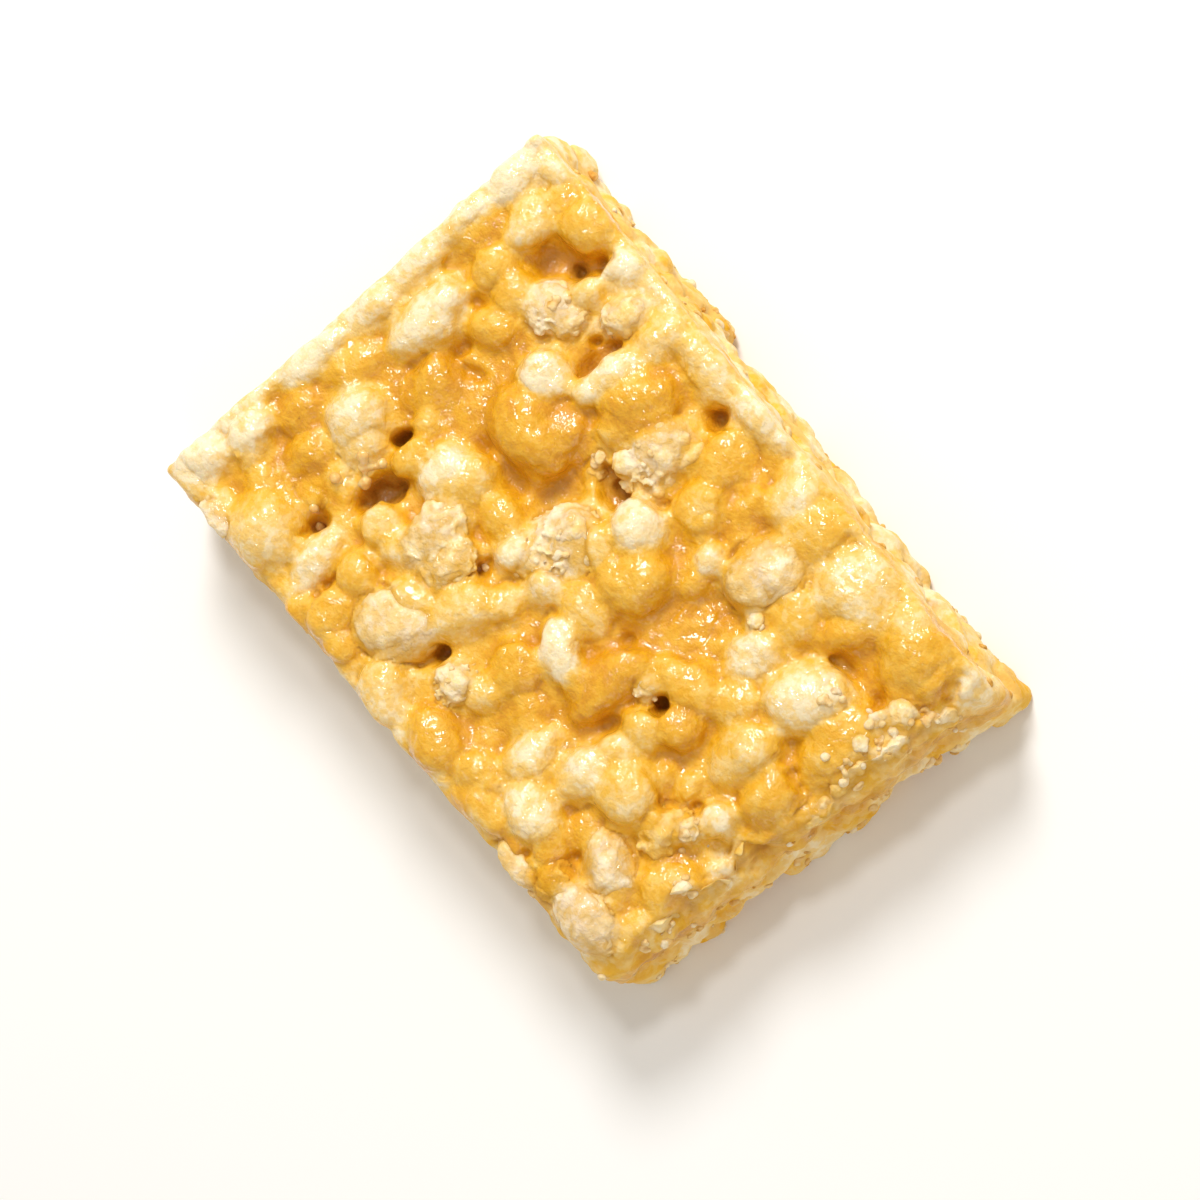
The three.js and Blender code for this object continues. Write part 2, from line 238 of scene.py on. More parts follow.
topGrains = [
    (36.8, 25.6, 5.0, 6.4, 0, 16.7, 0.98, "g"),
    (36.2, 28.4, 5.5, 3.0, 0, 15.6, 0.55, "g"),
    (35.6, 19.6, 4.0, 5.2, 0, 16.4, 0.85, "g"),
    (33.4, 20.8, 2.4, 3.6, 0, 15.2, 0.75, "g"),
    (31.0, 22.3, 2.6, 3.4, 0, 15.0, 0.50, "g"),
    (30.6, 28.8, 4.6, 2.8, 0, 15.8, 0.90, "d"),
    (25.4, 25.4, 8.8, 8.2, 15, 16.8, 0.60, "g"),
    (28.6, 24.6, 3.6, 6.0, 0, 15.8, 0.45, "g"),
    (19.4, 23.2, 3.9, 8.6, 8, 15.2, 0.85, "g"),
    (20.8, 27.4, 3.6, 3.2, 0, 14.6, 0.20, "g"),
    (25.6, 16.6, 6.6, 5.6, 20, 14.2, 0.35, "c"),
    (23.4, 15.6, 3.2, 4.2, 0, 14.0, 0.60, "g"),
    (29.3, 16.2, 5.4, 6.0, 0, 14.9, 0.20, "g"),
    (28.4, 9.6, 7.6, 7.0, 0, 16.6, 0.75, "g"),
    (25.6, 10.4, 3.0, 5.6, 0, 15.3, 0.70, "g"),
    (20.6, 7.0, 4.2, 5.2, 0, 15.8, 0.35, "g"),
    (17.2, 5.6, 4.6, 5.6, 0, 16.4, 0.85, "g"),
    (25.6, 0.8, 6.8, 7.4, 0, 15.4, 0.05, "g"),
    (34.0, 14.0, 6.0, 7.0, 0, 15.4, 0.10, "g"),
    (37.0, 9.0, 3.4, 9.0, 0, 16.1, 0.90, "g"),
    (36.6, 0.0, 3.6, 8.0, 0, 16.0, 0.80, "g"),
    (33.2, 6.0, 4.4, 7.0, 0, 15.4, 0.35, "g"),
    (31.6, -4.0, 5.2, 9.0, 0, 16.7, 0.85, "g"),
    (37.0, -7.0, 3.4, 8.0, 0, 16.2, 0.85, "g"),
    (37.0, -14.0, 3.4, 7.0, 0, 16.2, 0.80, "g"),
    (36.8, -20.6, 4.4, 7.4, 0, 16.5, 0.95, "g"),
    (34.4, -24.6, 5.0, 3.0, 0, 16.0, 0.85, "g"),
    (34.6, -14.6, 4.0, 6.0, 0, 15.6, 0.10, "g"),
    (30.8, -12.6, 4.6, 5.2, 0, 16.2, 0.50, "g"),
    (27.4, -12.4, 4.0, 5.4, 0, 15.4, 0.40, "g"),
    (31.8, -18.8, 4.6, 6.4, 10, 16.6, 0.70, "g"),
    (31.4, -23.2, 3.6, 3.6, 0, 15.2, 0.05, "g"),
    (27.2, -23.4, 5.6, 5.2, 0, 16.4, 0.35, "g"),
    (26.0, -8.6, 5.4, 5.0, 0, 15.2, 0.30, "g"),
    (23.2, -14.6, 5.2, 5.0, 30, 16.0, 0.98, "c"),
    (20.8, -15.4, 3.6, 4.2, 0, 15.4, 0.85, "c"),
    (21.6, -18.6, 3.0, 3.4, 0, 15.9, 0.60, "g"),
    (20.8, -23.4, 4.0, 4.6, 0, 16.0, 0.80, "g"),
    (17.8, -9.7, 5.2, 5.4, 0, 16.5, 0.88, "g"),
    (15.0, -4.8, 10.4, 8.4, 10, 16.8, 0.12, "g"),
    (12.4, -6.6, 5.6, 8.0, 0, 15.9, 0.15, "g"),
    (16.9, -20.4, 3.8, 5.2, -15, 15.9, 0.92, "c"),
    (12.4, -15.4, 4.0, 8.6, -12, 16.7, 0.78, "g"),
    (9.0, -15.6, 7.6, 8.8, 0, 16.9, 0.15, "g"),
    (8.2, -12.0, 4.0, 4.0, 0, 15.8, 0.50, "g"),
    (3.4, -13.6, 6.6, 8.6, 0, 15.9, 0.90, "c"),
    (0.4, -12.4, 3.0, 5.0, 0, 14.6, 0.75, "c"),
    (0.4, -16.4, 3.0, 3.6, 0, 15.2, 0.80, "c"),
    (4.8, -10.6, 2.4, 3.0, 0, 15.2, 0.80, "c"),
    (7.2, -8.7, 1.4, 1.6, 0, 14.6, 0.85, "c"),
    (6.6, -7.2, 2.4, 2.2, 0, 13.6, 0.70, "c"),
    (12.2, -21.8, 4.8, 7.0, 0, 16.2, 0.70, "g"),
    (6.8, -23.6, 8.4, 4.6, 0, 16.2, 0.65, "g"),
    (-0.6, -24.6, 6.0, 3.4, 0, 16.0, 0.75, "g"),
    (-2.4, -19.4, 5.6, 6.6, 0, 15.7, 0.35, "g"),
    (-4.4, -13.6, 5.4, 5.4, 0, 16.2, 0.45, "g"),
    (-7.6, -17.2, 5.0, 6.2, 0, 15.5, 0.25, "g"),
    (-9.0, -11.0, 3.0, 3.0, 0, 16.0, 0.80, "g"),
    (-10.2, -22.0, 4.4, 5.6, 0, 16.3, 0.75, "g"),
    (-14.2, -21.8, 6.2, 7.2, 0, 16.5, 0.50, "g"),
    (-14.4, -15.0, 6.8, 9.0, -10, 16.8, 0.74, "d"),
    (-13.4, -5.2, 4.6, 6.0, 0, 14.2, 0.28, "g"),
    (-16.6, -7.6, 4.2, 5.0, 0, 14.2, 0.25, "g"),
    (-9.6, -8.4, 3.6, 4.6, 0, 15.0, 0.35, "g"),
    (-1.6, -7.2, 6.6, 5.4, -30, 16.9, 0.95, "g"),
    (-0.4, -3.0, 4.4, 5.0, 0, 16.6, 0.60, "g"),
    (-5.4, -3.8, 8.6, 8.0, 0, 16.8, 0.25, "g"),
    (2.6, 0.6, 7.4, 9.8, -25, 16.1, 0.98, "c"),
    (5.2, 4.6, 3.6, 5.0, 0, 16.0, 0.85, "g"),
    (0.2, 4.4, 4.4, 4.0, 0, 15.9, 0.80, "g"),
    (7.8, 19.9, 9.4, 7.6, 38, 17.0, 0.85, "d"),
    (8.6, 17.0, 5.4, 3.6, 30, 16.2, 0.70, "g"),
    (3.2, 25.4, 7.0, 6.0, 0, 16.0, 0.70, "g"),
    (13.6, 24.8, 4.8, 5.4, 0, 16.1, 0.35, "g"),
    (10.2, 26.4, 4.4, 3.6, 0, 15.5, 0.35, "g"),
    (15.0, 20.0, 5.4, 4.6, 20, 15.8, 0.45, "g"),
    (17.4, 14.6, 4.8, 4.4, 0, 16.0, 0.55, "g"),
    (13.6, 14.2, 5.0, 4.2, 10, 15.7, 0.80, "g"),
    (12.4, 10.4, 5.6, 7.4, 15, 16.6, 0.80, "f"),
    (9.0, 11.2, 4.6, 6.4, 0, 16.3, 0.70, "f"),
    (14.4, 4.6, 5.6, 6.6, 0, 16.1, 0.55, "g"),
    (9.6, 3.6, 5.6, 5.0, 0, 15.5, 0.35, "g"),
    (4.0, 13.4, 6.6, 7.0, 30, 16.5, 0.60, "g"),
    (2.0, 9.2, 4.0, 4.6, 0, 15.6, 0.60, "g"),
    (-1.6, 18.6, 4.6, 4.8, 0, 16.2, 0.85, "c"),
    (-4.6, 17.0, 4.0, 4.6, 0, 15.6, 0.50, "g"),
    (-4.6, 24.2, 7.0, 6.2, 0, 16.2, 0.15, "g"),
    (-6.2, 7.4, 6.2, 3.6, -20, 16.8, 0.98, "g"),
    (-4.6, 12.6, 6.0, 6.6, 0, 15.7, 0.25, "g"),
    (-9.0, 14.6, 5.0, 5.6, 0, 15.3, 0.30, "g"),
    (-4.6, 2.8, 6.6, 5.6, 0, 15.9, 0.55, "g"),
    (-10.8, 22.6, 5.6, 5.4, 0, 16.0, 0.50, "g"),
    (-12.6, 16.8, 5.0, 6.4, 0, 16.2, 0.75, "g"),
    (-11.8, 25.0, 4.4, 3.6, 0, 15.2, 0.30, "g"),
    (-17.0, 20.6, 7.0, 5.2, 5, 16.9, 0.80, "g"),
    (-14.4, 24.2, 5.6, 4.2, 0, 15.8, 0.45, "g"),
    (-19.4, 24.0, 4.2, 4.0, 0, 15.2, 0.30, "g"),
    (-20.6, 25.6, 6.0, 2.6, 0, 15.0, 0.85, "d"),
    (-12.4, 5.4, 5.4, 8.8, 0, 16.4, 0.08, "g"),
    (-10.6, 8.0, 4.0, 4.0, 0, 15.9, 0.20, "g"),
    (-18.2, 13.2, 5.4, 6.2, 0, 17.0, 0.80, "g"),
    (-22.4, 11.4, 7.0, 6.6, 15, 17.0, 0.55, "g"),
    (-18.6, 8.8, 4.4, 3.6, 30, 16.6, 0.75, "g"),
    (-18.6, 5.6, 4.4, 4.4, 0, 16.4, 0.50, "g"),
    (-20.6, 2.4, 4.4, 5.0, 0, 16.3, 0.20, "g"),
    (-18.2, -1.2, 7.4, 4.6, 15, 16.5, 0.35, "g"),
    (-15.3, 2.4, 2.8, 3.4, 0, 15.8, 0.90, "c"),
    (-22.4, -4.0, 5.0, 5.4, 0, 15.9, 0.50, "g"),
    (-20.2, -8.4, 4.6, 5.6, 0, 16.1, 0.85, "g"),
    (-19.6, -14.0, 5.6, 5.6, 0, 16.0, 0.50, "g"),
    (-17.4, -10.8, 1.8, 1.8, 0, 15.6, 0.90, "c"),
    (-27.0, -9.6, 6.4, 8.2, 0, 17.0, 0.80, "g"),
    (-28.9, -12.0, 3.8, 4.2, 0, 16.0, 0.75, "g"),
    (-32.6, -9.6, 5.8, 9.6, 0, 16.2, 0.35, "g"),
    (-27.4, -1.4, 5.6, 7.2, 0, 16.6, 0.60, "g"),
    (-32.0, -0.6, 5.4, 7.0, 0, 16.1, 0.30, "g"),
    (-21.8, -21.0, 9.4, 8.6, 0, 17.3, 0.75, "g"),
    (-24.6, -17.6, 6.0, 4.0, 60, 16.2, 0.20, "g"),
    (-31.2, -21.0, 7.8, 8.4, 0, 16.7, 0.30, "g"),
    (-28.2, -23.2, 4.6, 4.6, 0, 16.5, 0.70, "g"),
    (-36.8, -13.4, 2.8, 4.4, 0, 15.2, 0.90, "c"),
    (-33.6, -14.2, 1.6, 2.0, 0, 15.6, 0.95, "c"),
    (-34.4, -11.4, 1.8, 1.6, 0, 15.8, 0.95, "c"),
    (-34.6, -16.4, 3.0, 3.4, 0, 15.2, 0.75, "c"),
    (-37.4, -18.6, 3.2, 4.6, 0, 14.4, 0.85, "c"),
    (-36.2, -9.0, 3.0, 5.6, 0, 14.8, 0.60, "c"),
    (-24.6, 23.2, 4.0, 4.6, 0, 15.6, 0.30, "c"),
    (-21.4, 21.2, 4.4, 4.4, 0, 15.6, 0.35, "g"),
    (-22.4, 17.6, 4.0, 5.0, 0, 14.8, 0.30, "g"),
    (-30.2, 22.8, 8.0, 5.4, 0, 16.8, 0.92, "d"),
    (-27.2, 17.8, 6.8, 5.4, -25, 16.5, 0.85, "d"),
    (-30.4, 18.4, 3.6, 4.0, -20, 15.6, 0.40, "g"),
    (-33.0, 14.0, 5.4, 6.2, 0, 16.0, 0.35, "g"),
    (-34.4, 12.8, 1.8, 2.2, 0, 16.3, 0.95, "c"),
    (-34.2, 19.6, 4.6, 6.0, 0, 15.2, 0.30, "g"),
    (-35.6, 18.6, 3.2, 6.2, 0, 14.8, 0.75, "c"),
    (-36.2, 11.2, 3.0, 4.6, 0, 14.4, 0.75, "c"),
    (-28.0, 10.6, 4.4, 6.0, 0, 15.8, 0.55, "c"),
    (-30.0, 8.4, 2.4, 2.6, 0, 15.9, 0.90, "c"),
    (-30.8, 5.2, 3.8, 3.8, 0, 15.8, 0.75, "g"),
    (-35.2, 3.4, 3.6, 6.8, 0, 13.8, 0.60, "c"),
    (-36.6, -3.6, 2.6, 5.2, 0, 14.2, 0.80, "c"),
]

# the gaps between them: place, length, width, turn, depth
topGaps = [
    (20.4, 13.2, 4.4, 7.0, 0, 6.5),
    (23.0, 20.8, 3.0, 5.0, -25, 5.0),
    (23.3, 7.3, 2.6, 3.4, 0, 5.0),
    (16.8, 22.8, 1.8, 5.0, 8, 3.5),
    (28.6, 0.2, 2.4, 4.6, 0, 4.0),
    (26.7, -4.6, 1.6, 5.4, 0, 3.6),
    (23.8, -3.6, 4.0, 1.6, 20, 3.0),
    (26.6, -18.2, 6.0, 4.6, 20, 3.2),
    (24.4, -19.8, 2.6, 2.6, 0, 4.0),
    (23.2, -22.4, 3.6, 4.2, 0, 3.4),
    (17.3, -16.0, 1.6, 1.2, 0, 3.0),
    (15.2, -15.4, 3.4, 6.0, 0, 2.4),
    (13.6, 0.4, 9.0, 3.6, 0, 3.4),
    (16.0, 0.8, 3.0, 1.4, 0, 3.0),
    (7.2, -3.6, 4.6, 9.0, 0, 3.6),
    (4.2, -7.8, 7.0, 3.6, -20, 5.0),
    (-1.2, -13.4, 2.4, 6.8, 0, 3.6),
    (1.8, -21.6, 6.0, 4.4, 0, 4.2),
    (-6.6, -24.2, 3.2, 3.0, 0, 2.4),
    (5.0, 23.6, 6.0, 2.2, -35, 4.0),
    (2.6, 18.4, 2.6, 4.0, 0, 5.0),
    (6.4, 9.0, 1.8, 5.0, 0, 2.6),
    (12.6, 13.2, 3.0, 1.2, 25, 3.0),
    (10.6, 15.4, 4.0, 3.0, 0, 2.4),
    (-1.2, 25.4, 2.0, 2.6, 0, 2.4),
    (-8.4, 24.4, 2.6, 4.0, 0, 2.8),
    (-8.8, 7.8, 1.6, 3.6, 0, 2.8),
    (-10.0, 1.2, 1.4, 2.6, 0, 3.0),
    (-14.0, -8.0, 5.0, 7.0, 0, 2.8),
    (-15.0, 7.4, 2.4, 5.0, 0, 2.6),
    (-17.8, 2.5, 2.4, 3.4, 0, 5.0),
    (-18.0, -14.4, 2.0, 5.0, 0, 2.6),
    (-20.6, 24.0, 2.4, 2.2, 0, 3.6),
    (-24.2, 19.2, 1.4, 2.4, 0, 2.8),
    (-26.0, 25.0, 1.8, 2.4, 0, 2.8),
    (-31.6, 16.8, 1.6, 3.4, 0, 3.6),
    (-28.0, 6.2, 1.8, 1.8, 0, 4.0),
    (-32.6, -4.0, 3.0, 1.6, 0, 3.2),
    (-26.6, -4.8, 2.0, 1.4, 0, 2.6),
    (-26.6, -14.6, 7.0, 2.6, 0, 2.6),
    (-32.6, -15.4, 3.0, 3.2, 0, 4.0),
    (-36.0, -22.2, 3.0, 4.4, 0, 4.0),
    (-33.8, 7.2, 3.0, 2.4, 30, 5.0),
    (-35.6, 5.6, 3.4, 3.0, 0, 4.6),
    (-26.2, 14.2, 5.0, 3.0, -30, 2.0),
]

# those that are open, dark and torn at the rim
tornHoles = [
    (20.8, 13.0, 3.0, 5.2, 0, 3.8),
    (19.6, 10.6, 2.6, 1.8, 30, 3.0),
    (22.9, 21.0, 1.5, 3.2, -25, 3.4),
    (23.9, 19.3, 2.2, 1.5, 35, 3.0),
    (27.4, 21.3, 2.4, 0.8, 0, 1.8),
    (23.6, 7.4, 1.9, 2.6, 0, 4.0),
    (16.6, 23.0, 0.9, 3.4, 8, 2.6),
    (28.5, 0.2, 1.3, 3.6, 0, 2.4),
    (26.5, -4.8, 0.9, 3.4, 0, 2.4),
    (24.5, -19.5, 1.6, 1.8, 0, 3.0),
    (23.0, -22.2, 2.6, 2.8, 0, 2.4),
    (17.3, -16.2, 0.9, 1.3, 0, 2.4),
    (17.4, -18.2, 0.9, 0.9, 0, 2.4),
    (3.2, -8.2, 3.0, 2.0, -20, 3.2),
    (5.2, -9.0, 1.8, 0.9, 20, 2.0),
    (1.8, -21.4, 2.4, 2.2, 0, 2.6),
    (-6.5, -24.3, 2.2, 1.7, 0, 1.6),
    (5.9, 23.9, 3.2, 0.8, 24, 2.0),
    (3.9, 22.3, 3.2, 0.9, 52, 2.4),
    (2.7, 20.0, 3.2, 1.0, 74, 2.8),
    (2.5, 18.2, 1.7, 2.0, 0, 3.2),
    (12.5, 13.2, 2.4, 0.8, 25, 1.8),
    (9.0, 13.6, 2.2, 0.7, -50, 1.6),
    (6.6, 9.2, 0.8, 3.4, 5, 2.0),
    (-17.7, 2.7, 1.7, 2.5, 0, 4.0),
    (-18.1, -14.2, 0.7, 3.2, 0, 1.6),
    (-20.7, 24.0, 1.6, 1.7, 0, 2.6),
    (-24.1, 19.2, 0.7, 1.9, 0, 1.8),
    (-31.5, 17.4, 0.9, 2.6, 0, 2.4),
    (-28.0, 6.2, 1.3, 1.5, 0, 3.0),
    (-33.0, -3.6, 3.0, 0.8, 0, 2.4),
    (-32.2, -15.2, 1.9, 1.9, 0, 2.6),
    (-35.9, -22.2, 1.9, 3.2, 0, 3.0),
    (-33.9, 7.2, 1.2, 3.4, 35, 2.2),
    (-35.9, 5.8, 2.6, 1.9, 0, 2.8),
]

loft = {
    "bedTop": 14.15,  # where the binder settles between the grains
    "bedLumps": [(7.0, 3, 0.5), (2.8, 5, 0.35)],  # size, seed and amount of each noise
    "gapDepth": 0.4,  # the share of a gap's depth that the binder sinks by
    "broad": 1.20,  # the crowns merge, so a whole grain is wider than what shows of it
    "flatness": 0.42,  # a grain's height against its smaller width
    "crownLift": (14.6, 15.0, 0.95),  # crowns above the first level start at the second, at this slope
    "flakeFlatness": 0.6,  # a flake is thinner than a grain
    "fillerCount": 110,
    "fillerSize": (3.0, 5.6),
    "fillerTop": (14.3, 15.3),
    "wallCount": 460,
    "wallSize": (3.4, 6.8),
    "wallDepth": (0.34, 0.54),  # of its size that a cut grain's middle lies inside the wall
    "wallHeight": (0.9, 13.2),
    "wallFlare": (1.0, 0.3),  # at the foot they follow the walls out, more at the -Y and -X ones
    "wallInset": 2.0,  # the binder lies back this far between the cut grains
    "baseCount": 150,
    "baseSize": (4.0, 7.5),
    "seed": 12,
}
shapes = {  # how far each kind of grain strays from an ellipsoid: lumps, fine relief
    "g": (0.20, 0.03),
    "d": (0.16, 0.05),
    "c": (0.22, 0.07),
    "f": (0.20, 0.10),
}
seam = {
    "sharpness": {"g": 0.4, "d": 1.0, "c": 0.6, "f": 1.0},  # how each kind is set off from what is round it
    "ringAt": {"g": 1.05, "d": 1.18, "c": 1.18, "f": 1.18},  # of the grain's radius
    "ringWidth": 0.24,
    "betweenWidth": 0.45,
    "wobble": 0.3,
    "wobbleSize": 1.3,
    "brokenSize": 3.0,
    "depth": 0.32,
}

# places where the walls are torn: wall, run along it, height, length, tallness, depth
wallPits = [
    ("front", -9.0, 9.0, 4.0, 3.4, 1.6),
    ("front", -16.0, 10.6, 5.0, 4.0, 1.9),
    ("front", -22.5, 6.0, 3.6, 3.0, 1.2),
    ("front", -28.0, 9.6, 6.5, 5.0, 2.2),
    ("front", 31.0, 8.0, 5.0, 4.0, 1.2),
    ("left", -19.0, 7.5, 4.0, 3.6, 1.3),
    ("left", -10.0, 5.0, 4.4, 3.0, 1.2),
    ("left", -3.0, 10.0, 4.4, 3.0, 1.6),
    ("left", 5.0, 12.0, 6.0, 4.4, 2.6),
    ("left", 12.0, 5.6, 5.0, 3.4, 1.5),
    ("left", 19.0, 10.0, 4.0, 3.4, 1.4),
    ("back", -22.0, 8.0, 5.0, 4.0, 1.5),
    ("back", -4.0, 6.0, 4.4, 3.4, 1.4),
    ("back", 14.0, 9.0, 5.0, 3.6, 1.6),
    ("back", 29.0, 6.0, 4.0, 3.4, 1.3),
    ("right", -16.0, 7.0, 5.0, 4.0, 1.5),
    ("right", 2.0, 9.0, 4.4, 3.4, 1.4),
    ("right", 15.0, 5.6, 5.0, 3.6, 1.6),
]
wallNames = ("front", "back", "left", "right")
knife = {  # what has four numbers is for the -Y, +Y, -X and +X walls
    "taken": (0.94, 0.85, 0.88, 0.85),  # the share that was cut off of what stands out past each wall
    "paleness": (-0.02, 0.0, 0.0, 0.0),  # of each cut wall, against the rest
    "bow": [(9.0, 11, 0.25)],
    "streaks": [(0.9, 14, 0.10)],
    "streakStretch": 0.12,
    "tears": [(1.9, 12, 0.22), (0.8, 13, 0.18)],
    "upperTears": (-0.6, 0.0, 1.2, 0.0),  # how much more each wall is torn near the top edge
    "bite": (0.0, 0.0, 1.0, 0.0),  # and how far the edge has crumbled away
    "bites": [(3.4, 16, 1.0)],
    "pitRims": [(1.2, 15, 0.35)],
}
holeRims = [(1.4, 61, 0.5), (0.7, 62, 0.4)]  # how ragged the torn holes are
holeShare = 0.36  # of a hole's depth, what has to be carved after the glaze has filled it


def inTurned(x, y, row):
    turn = math.radians(row[4])
    along = ((x - row[0]) * math.cos(turn) + (y - row[1]) * math.sin(turn)) / (row[2] / 2)
    across = ((y - row[1]) * math.cos(turn) - (x - row[0]) * math.sin(turn)) / (row[3] / 2)
    return along**2 + across**2


def bedHeight(x, y):
    flat = np.stack([x, y, np.zeros_like(x)], axis=1)
    height = loft["bedTop"] + addNoises(flat, loft["bedLumps"])
    for rim, edge in zip(bar["rim"], wallDistances(x, y)):
        height += rim * smoothStep(edge, -4.2, -1.2)
    for row in topGaps:
        height -= loft["gapDepth"] * row[5] * smoothStep(1.3 - inTurned(x, y, row), 0, 1)
    return height


def makeBed():
    bm = bmesh.new()
    bmesh.ops.create_cube(bm, size=1)
    bmesh.ops.scale(bm, vec=(bar["length"], bar["width"], bar["meanTop"]), verts=bm.verts)
    bmesh.ops.translate(bm, vec=(0, 0, bar["meanTop"] / 2), verts=bm.verts)
    bed = addObject("glazedMass", bm)
    remesh(bed, 0.5)
    points = readPoints(bed.data)
    rise = np.clip(points[:, 2] / bar["meanTop"], 0, 1)
    out = 1 + (0.9 * (1 - rise) - 0.3 - loft["wallInset"] * smoothStep(1 - rise, 0.1, 0.35)) / halfWidth
    x, y = planPlace(points[:, 0] * out, points[:, 1] * out)
    z = 0.1 + rise**1.5 * (bedHeight(x, y) - 0.1)
    writePoints(bed.data, np.stack([x, y, z], axis=1))
    return bed


def grainRow(place, radii, turn, tone, kind, part):
    return {"place": place, "radii": radii, "turn": turn, "tone": tone, "kind": kind, "part": part}


def anyPlace(rng):
    # somewhere over the plan, a little in from the walls
    x = rng.uniform(1 - halfLength, halfLength - 1)
    y = rng.uniform(1 - halfWidth, halfWidth - 1)
    return [float(value) for value in planPlace(x, y)]


def layGrains():
    rng = random.Random(loft["seed"])
    grains = []
    flatTop, liftedTop, slope = loft["crownLift"]
    for x, y, length, width, turn, top, tone, kind in topGrains:
        length, width = length * loft["broad"], width * loft["broad"]
        top = max(top, liftedTop + (top - flatTop) * slope) if top > flatTop else top
        low = min(length, width) * loft["flatness"] * (loft["flakeFlatness"] if kind == "f" else 1.0)
        grains.append(grainRow((x, y, top - low), (length / 2, width / 2, low),
                               (0, 0, math.radians(turn)), tone, kind, "top"))
    # small ones that fill the floor between them
    for _ in range(loft["fillerCount"]):
        x, y = anyPlace(rng)
        size = rng.uniform(*loft["fillerSize"])
        if min(inTurned(x, y, row) for row in topGaps) < 2:
            continue
        top = rng.uniform(*loft["fillerTop"])
        grains.append(grainRow((x, y, top - size * 0.4), (size / 2, size * 0.42, size * 0.4),
                               (rng.uniform(-0.4, 0.4), rng.uniform(-0.4, 0.4), rng.uniform(0, 3.1)),
                               rng.uniform(0.1, 0.7), "g", "floor"))
    # the grains along the four walls, which the knife went through
    girth = 4 * (halfLength + halfWidth)
    for n in range(loft["wallCount"]):
        run = (n + rng.random()) / loft["wallCount"] * girth
        size = rng.uniform(*loft["wallSize"])
        deep = rng.uniform(*loft["wallDepth"]) * size
        z = rng.uniform(*loft["wallHeight"])
        side = run % (girth / 2)
        if side < 2 * halfLength:
            x, y = side - halfLength, deep - halfWidth
        else:
            x, y = halfLength - deep, side - 2 * halfLength - halfWidth
        if run >= girth / 2:
            x, y = -x, -y
        flare = loft["wallFlare"][0 if x + y < 0 else 1]
        out = 1 + (1 - z / bar["meanTop"]) * flare / halfWidth
        x, y = planPlace(x * out, y * out)
        grains.append(grainRow((float(x), float(y), z),
                               (size / 2, size * rng.uniform(0.36, 0.5), size * rng.uniform(0.36, 0.5)),
                               tuple(rng.uniform(0, 3.1) for _ in range(3)),
                               rng.uniform(0.45, 1.0), rng.choice("ddcgg"), "wall"))
    # and those pressed flat against the tray
    for _ in range(loft["baseCount"]):
        x, y = anyPlace(rng)
        size = rng.uniform(*loft["baseSize"])
        grains.append(grainRow((x, y, size * rng.uniform(0.12, 0.36)),
                               (size / 2, size * rng.uniform(0.38, 0.5), size * 0.4),
                               (0, 0, rng.uniform(0, 3.1)), rng.uniform(0.2, 0.9), rng.choice("dgg"), "base"))
    return grains


def makeBall(detail):
    bm = bmesh.new()
    bmesh.ops.create_icosphere(bm, subdivisions=detail, radius=1)
    ball = bpy.data.meshes.new("ball")
    bm.to_mesh(ball)
    bm.free()
    return ball


def popGrains(name, grains, detail):
    ball = makeBall(detail)
    bm = bmesh.new()
    for _ in grains:
        bm.from_mesh(ball)
    thing = addObject(name, bm)
    one = readPoints(ball)
    bpy.data.meshes.remove(ball)
    middle = np.array([grain["place"] for grain in grains])[:, None]
    radii = np.array([grain["radii"] for grain in grains])[:, None]
    turns = np.array([Euler(grain["turn"]).to_matrix() for grain in grains])
    number = np.array([sum(grain["place"]) for grain in grains])[:, None, None]
    # lumps stray by a share of the grain's own size
    lumps = np.array([shapes[grain["kind"]][0] for grain in grains])[:, None]
    fine = np.array([shapes[grain["kind"]][1] for grain in grains])[:, None]
    look = one[None] * radii / radii.min(axis=2, keepdims=True) + number * 7.7
    stray = lumps * softNoise(look.reshape(-1, 3), 1.1, 1).reshape(len(grains), -1)
    stray = stray + fine * softNoise(look.reshape(-1, 3), 0.35, 2).reshape(len(grains), -1)
    arm = one[None] * radii * (1 + stray[..., None])
    arm = np.einsum("nij,nkj->nki", turns, arm)
    writePoints(thing.data, (middle + arm).reshape(-1, 3))
    return thing


def wallLimit(wall, along, z):
    # how far out the cut runs on one wall: straight along the knife, torn in places
    level = np.clip(z / bar["meanTop"], 0, 1)
    spot = np.stack([along, z, np.full_like(z, wall * 31.0)], axis=1)
    limit = bar["flare"][wall] * (1 - level) - bar["bevel"][wall] * smoothStep(z, 10.5, 16.5)
    limit = limit + addNoises(spot, knife["bow"])
    limit = limit + addNoises(spot * np.array([knife["streakStretch"], 1.0, 1.0]), knife["streaks"])
    upper = smoothStep(z, 8.0, 13.0)
    limit = limit + (1 + knife["upperTears"][wall] * upper) * addNoises(spot, knife["tears"])
    if knife["bite"][wall]:
        limit = limit + knife["bite"][wall] * upper * addNoises(spot, knife["bites"])
    for name, run, height, length, tall, depth in wallPits:
        if wallNames[wall] == name:
            apart = ((along - run) / length * 2) ** 2 + ((z - height) / tall * 2) ** 2
            limit = limit - depth * smoothStep(1.15 - apart + addNoises(spot, knife["pitRims"]), 0, 0.8)
    return limit


